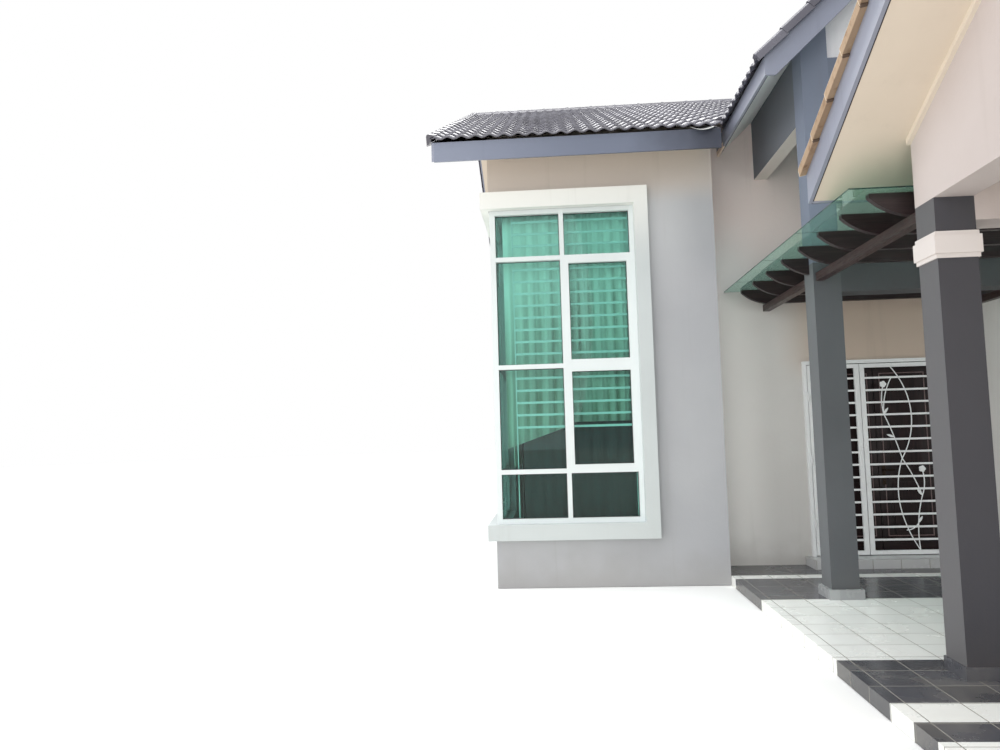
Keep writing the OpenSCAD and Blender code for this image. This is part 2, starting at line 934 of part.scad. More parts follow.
module corner_frames() {
    // Front face runs from the wall corner to the reveal
    translate([-half_w + frame_set, frame_set, 0]) corner_face(corner_w - frame_set);
    // Side face turns the corner
    translate([-half_w + frame_set, frame_set, 0]) rotate([0, 0, 90]) mirror([0, 1, 0])
        corner_face(corner_side_w - frame_set);
}

module corner_window_frames() {
    color(c_frame) place() both() corner_frames();
}

module plain_frame() {
    ring(-plain_w / 2, plain_z, plain_w / 2, plain_z + plain_h, frame_w, frame_d, frame_set);
    member(-frame_w / 2, plain_z, frame_w / 2, plain_z + plain_h);
}

module at_plain_windows() {
    for (y = side_window_y) {
        translate([-half_w, y, 0]) rotate([0, 0, -90]) children();
        translate([half_w, y, 0]) rotate([0, 0, 90]) children();
    }
    for (x = rear_window_x)
        translate([x, house_d, 0]) rotate([0, 0, 180]) children();
}

module plain_window_frames() {
    color(c_frame) place() at_plain_windows() plain_frame();
}

// Glass lies against the inner side of its frame
module window_glass() {
    g0 = frame_set + frame_d;
    color(c_green_glass, 0.6) place() {
        both() {
            block([-half_w + g0, g0, corner_low],
                  [-half_w + corner_w, g0 + glass_t, corner_top]);
            block([-half_w + g0, g0 + glass_t + pin_gap, corner_low],
                  [-half_w + g0 + glass_t, corner_side_w, corner_top]);
        }
        at_plain_windows()
            block([-plain_w / 2, g0, plain_z], [plain_w / 2, g0 + glass_t, plain_z + plain_h]);
    }
}

// Front door: a steel grille in front of two timber leaves
door_top = house_z + door_h;
door_half = door_w / 2;
clear_half = door_half - door_frame_w;
leaf_low = house_z + leaf_gap;
leaf_top = door_top - door_frame_w - leaf_gap;
split_x = -door_half + door_w * narrow_share / 100;
hinge_x = clear_half - leaf_gap / 2;
grille_y = door_wall_y - grille_out;
grille_leaf_y = grille_y + (grille_frame_d - grille_t) / 2;
timber_y = door_wall_y + wall_t - timber_t;

// Frame of two posts and a head, fixed in the doorway
module doorway_frame(y0, y1) {
    block([-door_half, y0, house_z], [-clear_half, y1, door_top]);
    block([clear_half, y0, house_z], [door_half, y1, door_top]);
    block([-clear_half, y0, door_top - door_frame_w], [clear_half, y1, door_top]);
}

// Hinges: three to a leaf, one knuckle on the frame with one on the leaf above
// it. y is the face that the leaf swings away from and out is the way out.
hinge_levels = [for (i = [1, 3, 5]) leaf_low + (leaf_top - leaf_low) * i / 6];

module knuckle(y, out, low, top) {
    translate([-hinge_x, y + out * hinge_r, low]) cylinder(r = hinge_r, h = top - low);
}

module hinge_plate(x0, x1, face, y, out, low, top) {
    outer = y + out * hinge_plate_t;
    block([x0, min(face, outer), low], [x1, max(face, outer), top]);
}

module frame_knuckles(y, out) {
    for (z = hinge_levels) {
        knuckle(y, out, z - hinge_len / 2, z);
        hinge_plate(-hinge_x - hinge_plate_w, -hinge_x, y, y, out, z - hinge_len / 2, z);
    }
}

module leaf_knuckles(y, out, leaf_face) {
    edge = -clear_half + leaf_gap;
    for (z = hinge_levels) {
        low = z + pin_gap;
        knuckle(y, out, low, low + hinge_len / 2);
        hinge_plate(-hinge_x, edge, y, y, out, low, low + hinge_len / 2);
        hinge_plate(edge, edge + hinge_plate_w, leaf_face, y, out, low, low + hinge_len / 2);
    }
}

module grille_frame() {
    color(c_frame) place() {
        doorway_frame(grille_y, grille_y + grille_frame_d);
        both() frame_knuckles(grille_y, -1);
    }
}

grille_bar_y = grille_leaf_y + (grille_t - grille_bar_t) / 2;
grille_low = leaf_low + grille_rail;
grille_top = leaf_top - grille_rail;

module grille_panel(x0, x1) {
    y = grille_leaf_y;
    s = grille_stile;
    step = (grille_top - grille_low + grille_rail) / (grille_bars + 1);
    difference() {
        block([x0, y, leaf_low], [x1, y + grille_t, leaf_top]);
        block([x0 + s, y - 1, grille_low], [x1 - s, y + grille_t + 1, grille_top]);
    }
    for (i = [1:grille_bars]) {
        z = leaf_low + grille_rail / 2 + i * step;
        block([x0 + s - 1, grille_bar_y, z - grille_bar_h / 2],
              [x1 - s + 1, grille_bar_y + grille_bar_t, z + grille_bar_h / 2]);
    }
}

// Scroll of the wide leaf: flat bars bent edgewise and welded to the front of
// the grille bars. Places on it are shares of the clear width and height
// inside the leaf's frame.
scroll_x0 = split_x + leaf_gap / 2 + grille_stile;
scroll_x1 = clear_half - leaf_gap - grille_stile;

function on_scroll(p) = [scroll_x0 + p[0] * (scroll_x1 - scroll_x0),
                         grille_low - 1 + p[1] * (grille_top - grille_low + 2)];

// Centre of the circle through three places
function middle(a, b, c) =
    let (d = 2 * (a[0] * (b[1] - c[1]) + b[0] * (c[1] - a[1]) + c[0] * (a[1] - b[1])),
         qa = a * a, qb = b * b, qc = c * c)
    [(qa * (b[1] - c[1]) + qb * (c[1] - a[1]) + qc * (a[1] - b[1])) / d,
     (qa * (c[0] - b[0]) + qb * (a[0] - c[0]) + qc * (b[0] - a[0])) / d];

function heading(p, o) = atan2(p[1] - o[1], p[0] - o[0]);

function turn(from, to) = let (t = to - from) t > 180 ? t - 360 : t < -180 ? t + 360 : t;

// Bar from p past q to r on one arc, with round weld joints at its ends
module rod(p, q, r) {
    a = on_scroll(p);
    b = on_scroll(q);
    c = on_scroll(r);
    o = middle(a, b, c);
    radius = norm(a - o);
    reach = radius * 2;
    sweep = turn(heading(a, o), heading(b, o)) + turn(heading(b, o), heading(c, o));
    t = abs(sweep);
    translate(o) rotate(sweep > 0 ? heading(a, o) : heading(c, o)) intersection() {
        difference() {
            circle(radius + rod_r, $fn = 96);
            circle(radius - rod_r, $fn = 96);
        }
        polygon([[0, 0], [reach, 0], reach * [cos(t / 2), sin(t / 2)], reach * [cos(t), sin(t)]]);
    }
    for (end = [a, c]) translate(end) circle(rod_r * 1.2, $fn = 24);
}

module blossom(p) {
    translate(on_scroll(p)) for (i = [0:4])
        rotate(i * 72) translate([blossom_r / 2, 0]) circle(blossom_r / 2, $fn = 24);
}

// A leaf is the lens where two equal circles cross
module sprig(p, tilt) {
    r = (sprig_len * sprig_len + sprig_w * sprig_w) / (4 * sprig_w);
    translate(on_scroll(p)) rotate(tilt) intersection() {
        translate([sprig_len / 2, r - sprig_w / 2]) circle(r, $fn = 96);
        translate([sprig_len / 2, sprig_w / 2 - r]) circle(r, $fn = 96);
    }
}

module scroll_outline() {
    rod([0.334, 1], [0.559, 0.751], [0.41, 0.496]);
    rod([0.41, 0.496], [0.53, 0.4], [0.631, 0.293]);
    rod([0.631, 0.293], [0.561, 0.145], [0.564, 0]);
    rod([0.651, 0.43], [0.668, 0.365], [0.631, 0.293]);
    rod([0.228, 0.9], [0.199, 0.81], [0.216, 0.74]);
    rod([0.216, 0.74], [0.33, 0.612], [0.41, 0.496]);
    rod([0.41, 0.496], [0.335, 0.32], [0.393, 0.158]);
    rod([0.393, 0.158], [0.468, 0.075], [0.564, 0]);
    rod([0.332, 0.938], [0.262, 0.87], [0.216, 0.74]);
    rod([0.561, 0.145], [0.5, 0.118], [0.415, 0.108]);
    blossom([0.228, 0.905]);
    blossom([0.651, 0.437]);
    sprig([0.216, 0.74], 55);
    sprig([0.33, 0.612], 157);
    sprig([0.631, 0.293], 126);
    sprig([0.561, 0.145], 58);
}

module scroll() {
    translate([0, grille_bar_y, 0]) rotate([90, 0, 0]) linear_extrude(scroll_t) scroll_outline();
}

module grille_leaf_narrow() {
    color(c_frame) place() {
        grille_panel(-clear_half + leaf_gap, split_x - leaf_gap / 2);
        leaf_knuckles(grille_y, -1, grille_leaf_y);
    }
}

module grille_leaf_wide() {
    color(c_frame) place() {
        grille_panel(split_x + leaf_gap / 2, clear_half - leaf_gap);
        scroll();
        mirror([1, 0, 0]) leaf_knuckles(grille_y, -1, grille_leaf_y);
    }
}

module timber_door_frame() {
    color(c_door) place() {
        doorway_frame(grille_y + grille_frame_d, door_wall_y + wall_t);
        both() frame_knuckles(door_wall_y + wall_t, 1);
    }
}

// Groove that leaves a raised panel, cut into one face of a timber leaf
module panel_groove(x0, z0, x1, z1, y) {
    g = panel_groove;
    difference() {
        block([x0, y, z0], [x1, y + panel_groove_d * 2, z1]);
        block([x0 + g, y - 1, z0 + g], [x1 - g, y + panel_groove_d * 2 + 1, z1 - g]);
    }
}

module timber_panel(x0, x1) {
    lock_z = house_z + timber_lock_h;
    s = timber_stile;
    difference() {
        block([x0, timber_y, leaf_low], [x1, timber_y + timber_t, leaf_top]);
        for (y = [timber_y - panel_groove_d, timber_y + timber_t - panel_groove_d]) {
            panel_groove(x0 + s, leaf_low + s, x1 - s, lock_z - s / 2, y);
            panel_groove(x0 + s, lock_z + s / 2, x1 - s, leaf_top - s, y);
        }
    }
}

module timber_leaf() {
    timber_panel(-clear_half + leaf_gap, -leaf_gap / 2);
    leaf_knuckles(door_wall_y + wall_t, 1, door_wall_y + wall_t);
}

module timber_leaf_left() {
    color(c_door) place() timber_leaf();
}

module timber_leaf_right() {
    color(c_door) place() mirror([1, 0, 0]) timber_leaf();
}

bedroom_front_wall();
living_front_wall();
left_side_wall();
right_side_wall();
bedroom_return_wall();
living_return_wall();
entry_wall_left();
entry_wall_right();
entry_wall_over_door();
rear_wall();
house_floor();
porch_floor();
door_step();
main_roof_front();
main_roof_rear();
main_fascias();
main_bargeboards();
main_soffits();
entry_roof_left();
entry_roof_right();
entry_fascias();
entry_bargeboards();
entry_soffits();
entry_side_beams();
entry_front_beam();
entry_columns();
entry_column_feet();
entry_gable_panel();
link_beam();
porch_columns();
porch_column_feet();
porch_column_bands();
porch_side_beams();
porch_cross_beams();
porch_gable_walls();
porch_roof_front();
porch_roof_rear();
porch_fascias();
porch_bargeboards();
porch_soffits();
porch_ceiling();
roof_ridges();
canopy_rafters();
canopy_purlins();
canopy_glass();
window_surrounds();
corner_window_frames();
plain_window_frames();
window_glass();
grille_frame();
grille_leaf_narrow();
grille_leaf_wide();
timber_door_frame();
timber_leaf_left();
timber_leaf_right();
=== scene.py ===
"""Looks of the single-storey house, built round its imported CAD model."""

import math
import random

import bmesh
import bpy
from mathutils import Matrix, Vector, noise


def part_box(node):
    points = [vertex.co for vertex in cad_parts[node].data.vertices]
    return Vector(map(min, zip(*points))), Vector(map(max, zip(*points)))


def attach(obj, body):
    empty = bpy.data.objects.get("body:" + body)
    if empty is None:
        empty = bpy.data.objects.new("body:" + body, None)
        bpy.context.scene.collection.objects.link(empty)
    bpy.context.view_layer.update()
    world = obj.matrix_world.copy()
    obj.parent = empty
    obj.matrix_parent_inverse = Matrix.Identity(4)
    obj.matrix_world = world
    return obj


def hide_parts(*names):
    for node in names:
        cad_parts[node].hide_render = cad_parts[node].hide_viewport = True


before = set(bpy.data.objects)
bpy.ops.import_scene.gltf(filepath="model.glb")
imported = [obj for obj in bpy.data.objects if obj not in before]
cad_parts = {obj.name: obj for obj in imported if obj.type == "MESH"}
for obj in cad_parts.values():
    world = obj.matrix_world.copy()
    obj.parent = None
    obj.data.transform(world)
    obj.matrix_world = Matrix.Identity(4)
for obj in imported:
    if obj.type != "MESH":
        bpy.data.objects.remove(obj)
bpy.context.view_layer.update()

# Camera of the photograph: held at eye level beside the car porch, with a wide
# lens that looks slightly up, a little to the left of square on to the front,
# and leans clockwise.
eye = Vector((-3.730, -8.885, 1.675))
yaw, pitch, roll = (math.radians(a) for a in (3.88, 4.42, 1.56))
ahead = Vector((-math.sin(yaw) * math.cos(pitch), math.cos(yaw) * math.cos(pitch),
                math.sin(pitch)))
level_right = Vector((math.cos(yaw), math.sin(yaw), 0))
level_down = ahead.cross(level_right)
camera_right = math.cos(roll) * level_right + math.sin(roll) * level_down
camera_down = math.cos(roll) * level_down - math.sin(roll) * level_right
lens = bpy.data.cameras.new("photo_lens")
lens.sensor_width = 36
lens.lens = 27.62
lens.clip_end = 400
camera = bpy.data.objects.new("photo_camera", lens)
turn = Matrix((camera_right, -camera_down, -ahead)).transposed()
camera.matrix_world = Matrix.Translation(eye) @ turn.to_4x4()
bpy.context.scene.collection.objects.link(camera)
bpy.context.scene.camera = camera
bpy.context.scene.view_settings.view_transform = "Standard"


# Studio: a plain pale floor, a white surround and four soft lamps. The high
# one lights the roofs and the open floor, which throws light up under the eaves
# as sunlit ground does; the one behind the house glints on the tiles, and the
# low ones reach in under the porch.
def put(tree, kind, fed=None, **values):
    """Adds a shader node with its constants and the sockets that feed it."""
    made = tree.nodes.new(kind)
    for label, value in values.items():
        if label[0].islower():
            setattr(made, label, value)
        else:
            made.inputs[label.replace("_", " ")].default_value = value
    for label, source in (fed or {}).items():
        tree.links.new(source, made.inputs[label])
    return made


def reckon(tree, operation, *terms):
    """One Math node; a term is a socket or a number."""
    made = tree.nodes.new("ShaderNodeMath")
    made.operation = operation
    for place, term in enumerate(terms):
        if isinstance(term, (int, float)):
            made.inputs[place].default_value = term
        else:
            tree.links.new(term, made.inputs[place])
    return made.outputs[0]


def mixed(tree, share, first, second):
    """Colour between two colours, each a socket or an RGBA value."""
    made = tree.nodes.new("ShaderNodeMix")
    made.data_type = "RGBA"
    for place, term in ((0, share), (6, first), (7, second)):
        if isinstance(term, (int, float, tuple)):
            made.inputs[place].default_value = term
        else:
            tree.links.new(term, made.inputs[place])
    return made.outputs[2]


def tint(red, green, blue):
    """Screen colour, 0 to 255, as the linear RGBA that shaders take."""
    return tuple(((c / 255 + 0.055) / 1.055) ** 2.4 if c > 10 else c / 3294.6
                 for c in (red, green, blue)) + (1.0,)


def new_finish(name):
    """A material and its parts: the material, its tree and its shader."""
    made = bpy.data.materials.new(name)
    made.use_nodes = True
    return made, made.node_tree, made.node_tree.nodes["Principled BSDF"]


def set_in_scene(bm, name, finish):
    """Makes the bmesh an object of the scene, with its finish."""
    mesh = bpy.data.meshes.new(name)
    bm.to_mesh(mesh)
    bm.free()
    mesh.materials.append(finish)
    made = bpy.data.objects.new(name, mesh)
    bpy.context.scene.collection.objects.link(made)
    return made


world = bpy.data.worlds.new("white_surround")
bpy.context.scene.world = world
world.use_nodes = True
tree = world.node_tree
surround_light = tree.nodes["Background"]
surround_light.inputs["Color"].default_value = (0.95, 0.975, 1.0, 1)
surround_light.inputs["Strength"].default_value = 0.80
surround_seen = put(tree, "ShaderNodeBackground", Color=(1, 1, 1, 1), Strength=1.0)
rays = put(tree, "ShaderNodeLightPath")
seen = reckon(tree, "MAXIMUM", rays.outputs["Is Camera Ray"],
              reckon(tree, "MAXIMUM", rays.outputs["Is Glossy Ray"],
                     rays.outputs["Is Transmission Ray"]))
both = put(tree, "ShaderNodeMixShader", {0: seen, 1: surround_light.outputs[0],
                                         2: surround_seen.outputs[0]})
tree.links.new(both.outputs[0], tree.nodes["World Output"].inputs["Surface"])

floor_finish, tree, shader = new_finish("pale_studio_floor")
shader.inputs["Roughness"].default_value = 0.95
shader.inputs["Specular IOR Level"].default_value = 0.0
rays = put(tree, "ShaderNodeLightPath")
tree.links.new(mixed(tree, rays.outputs["Is Camera Ray"], tint(240, 238, 232),
                     tint(246, 246, 245)), shader.inputs["Base Color"])
floor_radius, floor_drop = 70, 0.004
bm = bmesh.new()
bmesh.ops.create_circle(bm, cap_ends=True, segments=96, radius=floor_radius)
bmesh.ops.translate(bm, verts=bm.verts, vec=(0, 0, -floor_drop))
studio_floor = set_in_scene(bm, "studio_floor", floor_finish)

for name, towards, strength, spread in (("high_lamp", (0.10, 0.22, -1.0), 1.7, 35),
                                        ("back_lamp", (0.10, -0.83, -0.52), 0.8, 30),
                                        ("left_lamp", (0.88, 0.30, -0.40), 0.95, 50),
                                        ("front_lamp", (0.33, 0.93, -0.14), 0.53, 45)):
    lamp = bpy.data.lights.new(name, "SUN")
    lamp.energy = strength
    lamp.angle = math.radians(spread)
    holder = bpy.data.objects.new(name, lamp)
    holder.rotation_euler = Vector(towards).to_track_quat("-Z", "Y").to_euler()
    bpy.context.scene.collection.objects.link(holder)


# Walls: brick, plastered with cement and rolled with emulsion paint, pale
# blue-grey on the wings and a lighter, warmer grey in the entry, which is painted
# light for the shaded recess. The trowel leaves slight waves, the roller a fine
# stipple, and rain a few faint runs. More painted light is mixed in high on the
# walls, under the eaves and beside the inner corners, with warm painted shade
# over the door.
def start_group(name, *outputs):
    """Empty shader group with those outputs; returns it with its end node."""
    group = bpy.data.node_groups.new(name, "ShaderNodeTree")
    for label in outputs:
        group.interface.new_socket(label, in_out="OUTPUT", socket_type="NodeSocketFloat")
    return group, put(group, "NodeGroupOutput")


def cloud(tree, place, scale, detail=3.0, roughness=0.5):
    """Noise of that many waves to the metre."""
    return put(tree, "ShaderNodeTexNoise", {"Vector": place}, Scale=scale, Detail=detail,
               Roughness=roughness).outputs["Fac"]


def ramp(tree, value, low, high):
    """0 below low, 1 above high, and smooth between."""
    return put(tree, "ShaderNodeMapRange", {"Value": value}, interpolation_type="SMOOTHSTEP",
               From_Min=low, From_Max=high).outputs["Result"]


def on_house(tree):
    """The point that is shaded, in metres in the row frame."""
    return put(tree, "ShaderNodeTexCoord").outputs["Object"]


def place_of(tree, axis):
    """The place along X, Y or Z in the row frame."""
    return put(tree, "ShaderNodeSeparateXYZ", {"Vector": on_house(tree)}).outputs[axis]


def from_middle(tree):
    """How far to the left or right of the middle of the house."""
    return reckon(tree, "ABSOLUTE", place_of(tree, "X"))


trowelled, ends = start_group("trowelled_coat", "Tone", "Relief", "Runs", "Splash")
tree = trowelled
where = on_house(tree)
tree.links.new(ramp(tree, cloud(tree, where, 0.7, 5.0), 0.32, 0.70), ends.inputs["Tone"])
waves = reckon(tree, "MULTIPLY", cloud(tree, where, 2.2, 2.0), 0.75)
stipple = reckon(tree, "MULTIPLY", cloud(tree, where, 160.0, 2.0), 0.16)
grit = reckon(tree, "MULTIPLY", cloud(tree, where, 26.0, 3.0), 0.22)
tree.links.new(reckon(tree, "ADD", waves, reckon(tree, "ADD", stipple, grit)),
               ends.inputs["Relief"])
stretched = put(tree, "ShaderNodeMapping", {"Vector": where}, Scale=(7.0, 7.0, 0.35))
tree.links.new(ramp(tree, cloud(tree, stretched.outputs[0], 1.0, 5.0, 0.62), 0.55, 0.82),
               ends.inputs["Runs"])
ragged = reckon(tree, "MULTIPLY_ADD", cloud(tree, where, 3.5, 5.0), 0.5, place_of(tree, "Z"))
tree.links.new(ramp(tree, ragged, 0.75, 0.22), ends.inputs["Splash"])


def place_group(tree, group, **fed):
    """Places a shader group with the sockets that feed it; returns its outputs."""
    made = tree.nodes.new("ShaderNodeGroup")
    made.node_tree = group
    for label, source in fed.items():
        tree.links.new(source, made.inputs[label])
    return made.outputs


def colour_and_gloss(tree, shader, colour, wear, span, least):
    """Feeds the colour, and a roughness that rises by span where the wear is 1."""
    tree.links.new(colour, shader.inputs["Base Color"])
    tree.links.new(reckon(tree, "MULTIPLY_ADD", wear, span, least), shader.inputs["Roughness"])


def relief(tree, shader, height, depth, strength=1.0):
    """Bump of that depth in metres."""
    bump = put(tree, "ShaderNodeBump", {"Height": height}, Distance=depth, Strength=strength)
    tree.links.new(bump.outputs["Normal"], shader.inputs["Normal"])


def coated(name, colour, cloudy, roughness=0.78, runs=0.12, splash=0.25, depth=0.004,
           others=()):
    """Painted plaster: colour in the open, cloudy where the coat is thin. Each of
    the others is a colour and the function that makes its mask."""
    made, tree, shader = new_finish(name)
    coat = place_group(tree, trowelled)
    paint = mixed(tree, coat["Tone"], cloudy, colour)
    for other, mask in others:
        paint = mixed(tree, mask(tree), paint, other)
    dirt = tint(120, 112, 98)
    paint = mixed(tree, reckon(tree, "MULTIPLY", coat["Runs"], runs), paint, dirt)
    paint = mixed(tree, reckon(tree, "MULTIPLY", coat["Splash"], splash), paint, dirt)
    colour_and_gloss(tree, shader, paint, coat["Tone"], 0.08, roughness - 0.04)
    relief(tree, shader, coat["Relief"], depth)
    return made


def faces_to(tree, axis):
    """How far the surface faces along X, Y or Z, from -1 to 1."""
    normal = put(tree, "ShaderNodeNewGeometry").outputs["Normal"]
    return put(tree, "ShaderNodeSeparateXYZ", {"Vector": normal}).outputs[axis]


def square_to(tree, axis, low=0.4, high=0.6):
    """Mask of the surfaces that face along X, Y or Z, either way."""
    return ramp(tree, reckon(tree, "ABSOLUTE", faces_to(tree, axis)), low, high)


def above(low, high):
    """Mask maker: 0 below the low level, 1 above the high one."""
    def mask(tree):
        return ramp(tree, place_of(tree, "Z"), low, high)
    return mask


def front_above(low, high):
    """Mask maker: as above, on the faces to the front alone."""
    def mask(tree):
        front = ramp(tree, faces_to(tree, "Y"), -0.5, -0.7)
        return reckon(tree, "MULTIPLY", front, above(low, high)(tree))
    return mask


def beside_window(tree):
    """Mask of painted light high on the front walls, away from the entry, against the eaves' shade.
    """
    outwards = ramp(tree, from_middle(tree), 1.9, 2.7)
    return reckon(tree, "MULTIPLY", outwards, front_above(2.9, 4.0)(tree))


def over_door(tree):
    """Mask of warm painted shade on the wall between the door and the canopy."""
    band = reckon(tree, "MULTIPLY", above(2.1, 2.5)(tree),
                  ramp(tree, place_of(tree, "Z"), 3.5, 3.0))
    return reckon(tree, "MULTIPLY", band, ramp(tree, from_middle(tree), 1.2, 0.5))


def inner_corner(tree):
    """Mask of painted light on the recess walls beside the wings, against the shade of the corners.
    """
    return reckon(tree, "MULTIPLY", ramp(tree, place_of(tree, "Z"), 4.3, 3.5),
                  ramp(tree, from_middle(tree), 1.15, 1.7))


def dress(finish, *nodes):
    """Gives CAD nodes their finish."""
    for node in nodes:
        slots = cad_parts[node].data.materials
        slots.clear()
        slots.append(finish)


wall_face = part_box("bedroom_front_wall")[0].y
# entry_grey and entry_thin are painted light: a lighter, warmer copy of the wall paint.
wing_blue, entry_grey, entry_thin = tint(183, 184, 187), tint(222, 219, 216), tint(212, 209, 206)
# Painted light: warm light under the eaves, and warmer light high in the recess.
under_soffit = (tint(206, 197, 190), front_above(4.15, 4.5))
high_entry = (tint(250, 234, 229), above(3.0, 4.2))
dress(coated("pale_blue_grey_emulsion_with_painted_light", wing_blue, tint(174, 175, 179),
             others=[(tint(211, 212, 214), beside_window), under_soffit]),
      "bedroom_front_wall", "living_front_wall", "left_side_wall", "right_side_wall", "rear_wall")
dress(coated("entry_grey_emulsion_with_painted_light", entry_grey, entry_thin,
             others=[high_entry, (tint(208, 189, 174), over_door),
                     (tint(250, 247, 244), inner_corner)]),
      "entry_wall_left", "entry_wall_right", "entry_wall_over_door")
dress(coated("return_wall_emulsion_with_painted_light", entry_grey, entry_thin,
             others=[high_entry, (wing_blue, front_above(-1.0, -0.5)), under_soffit]),
      "bedroom_return_wall", "living_return_wall")

# Floors: 300 mm glazed ceramic tiles on concrete, laid in broad bands of pale
# grey and charcoal across the porch, with narrow cement joints and a soft film
# of dust.
laid, ends = start_group("tile_laying", "Joint", "Shade", "Dust")
tree = laid
tile_size, joint_half = 0.30, 0.0022
floor_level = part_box("porch_floor")[1].z
gaps, cells = [], []
for axis, start in (("X", 0.0), ("Y", wall_face + tile_size), ("Z", floor_level)):
    steps = reckon(tree, "DIVIDE", reckon(tree, "SUBTRACT", place_of(tree, axis), start), tile_size)
    cells.append(reckon(tree, "FLOOR", reckon(tree, "ADD", steps, 0.0005)))
    off = reckon(tree, "ABSOLUTE", reckon(tree, "SUBTRACT", reckon(tree, "FRACT", steps), 0.5))
    gaps.append(ramp(tree, off, 0.5 - 2.2 * joint_half / tile_size, 0.5 - joint_half / tile_size))
on_top = square_to(tree, "Z")
facing_x = square_to(tree, "X")
across = reckon(tree, "MULTIPLY", gaps[0], reckon(tree, "SUBTRACT", 1.0, facing_x))
along = reckon(tree, "MULTIPLY", gaps[1], reckon(tree, "MAXIMUM", on_top, facing_x))
tree.links.new(reckon(tree, "MAXIMUM", across, along), ends.inputs["Joint"])
cell = put(tree, "ShaderNodeCombineXYZ", {"X": cells[0], "Y": cells[1], "Z": cells[2]})
tree.links.new(put(tree, "ShaderNodeTexWhiteNoise", {"Vector": cell.outputs[0]}).outputs["Value"],
               ends.inputs["Shade"])
tree.links.new(ramp(tree, cloud(tree, on_house(tree), 1.6, 6.0, 0.6), 0.40, 0.78),
               ends.inputs["Dust"])

# Edges of the charcoal bands in the row frame, from the front of the car bay to
# the front door; each pair is the start and the end of a band.
band_edges = (-9.215, -8.515, -8.225, -7.965, -4.825, -4.565, -4.275, -3.455, -1.575, -0.575,
              -0.385, 0.225)


def tiled(name, light, deep, banded=False):
    """Glazed floor tiles between two shades, with or without charcoal bands."""
    made, tree, shader = new_finish(name)
    tiles = place_group(tree, laid)
    pale = mixed(tree, tiles["Shade"], light, deep)
    glaze = pale
    if banded:
        dark = mixed(tree, tiles["Shade"], tint(78, 79, 86), tint(66, 67, 73))
        depth = place_of(tree, "Y")
        is_dark = 0.0
        for start, end in zip(band_edges[::2], band_edges[1::2]):
            within = reckon(tree, "MULTIPLY", reckon(tree, "GREATER_THAN", depth, start),
                            reckon(tree, "LESS_THAN", depth, end))
            is_dark = reckon(tree, "MAXIMUM", is_dark, within)
        glaze = mixed(tree, is_dark, pale, dark)
    glaze = mixed(tree, reckon(tree, "MULTIPLY", tiles["Dust"], 0.22), glaze, tint(176, 170, 158))
    glaze = mixed(tree, tiles["Joint"], glaze, tint(146, 143, 136))
    tree.links.new(glaze, shader.inputs["Base Color"])
    gloss = reckon(tree, "MULTIPLY_ADD", tiles["Dust"], 0.22, 0.20)
    tree.links.new(reckon(tree, "MAXIMUM", gloss, reckon(tree, "MULTIPLY", tiles["Joint"], 0.8)),
                   shader.inputs["Roughness"])
    relief(tree, shader, reckon(tree, "SUBTRACT", 1.0, tiles["Joint"]), 0.0015)
    return made


dress(tiled("banded_floor_tiles", tint(254, 255, 252), tint(247, 249, 246), banded=True),
      "porch_floor")
dress(tiled("pale_floor_tiles", tint(232, 234, 230), tint(222, 224, 221)), "house_floor")
dress(tiled("grey_step_tiles", tint(198, 198, 199), tint(190, 190, 191)), "door_step")

# Main roof: double-roll concrete tiles, 300 mm wide, hung on battens in courses
# of 345 mm from the eaves to the ridge. Each nose stands on the course below
# and each side lap on its neighbour; the ridge is capped with half-round tiles.
tile_cover, tile_course, tile_length = 0.302, 0.345, 0.400
roll_rise, nose_lift, tile_thick, lap_lift = 0.026, 0.022, 0.012, 0.004
roll_sharpness = 1.25
roll_steps, nose_round, nose_drop, nose_reach = 7, 0.016, 0.009, 0.030


def repeat(bm, step, count):
    """That many in a row, each one step further on than the last."""
    bmesh.ops.spin(bm, geom=bm.verts[:] + bm.edges[:] + bm.faces[:], cent=(0, 0, 0),
                   axis=(0, 0, 1), dvec=step, angle=0, steps=count - 1, use_duplicate=True)


def pulled(bm, faces, by):
    """Extrudes the faces, moves the new end, and returns its corners."""
    longer = bmesh.ops.extrude_face_region(bm, geom=faces)
    end = [v for v in longer["geom"] if isinstance(v, bmesh.types.BMVert)]
    bmesh.ops.translate(bm, verts=end, vec=by)
    return end


def shade_tiles(bm, seed, count, which):
    """Gives every face the shade of its tile; which tells a tile by a place on it."""
    shade = bm.faces.layers.float.new("tile_shade")
    batch = random.Random(seed)
    tones = [batch.random() for _ in range(count)]
    for face in bm.faces:
        face[shade] = tones[which(face.calc_center_median())]


def tile_field(width, slope, seed):
    """Tiles laid flat from the origin: X along the eave, Y up the slope and Z
    up from the underside of the tiles. Returns an open bmesh."""
    across = round(width / tile_cover)
    cover = width / across
    bm = bmesh.new()
    bmesh.ops.create_grid(bm, x_segments=2 * roll_steps, y_segments=2, size=0.5)
    bmesh.ops.translate(bm, verts=bm.verts, vec=(0.5, 0.5, 0))
    for v in bm.verts:
        if abs(v.co.y - 0.5) < 0.1:
            v.co.y = nose_round / tile_length
    pulled(bm, bm.faces[:], (0, 0, 1))
    for v in bm.verts:
        wave = (0.5 - 0.5 * math.cos(4 * math.pi * v.co.x)) ** roll_sharpness
        nose = 1 - v.co.y * tile_length / tile_course
        body = tile_thick + (nose_lift - tile_thick) * max(nose, 0)
        v.co = (v.co.x * cover, v.co.y * tile_length,
                tile_thick * min(max(nose, 0) * 2, 1) + roll_rise * wave
                + lap_lift * (1 - v.co.x) + v.co.z * (body - (nose_drop if v.co.y < 0.01 else 0)))
    bmesh.ops.recalc_face_normals(bm, faces=bm.faces)
    repeat(bm, (cover, 0, 0), across)
    courses = math.ceil(slope / tile_course)
    repeat(bm, (0, tile_course, 0), courses)

    def which(place):
        course = max(int((place.y - nose_reach) / tile_course), 0)
        return int(place.x / cover) * (courses + 2) + course

    shade_tiles(bm, seed, (across + 1) * (courses + 2), which)
    return bm


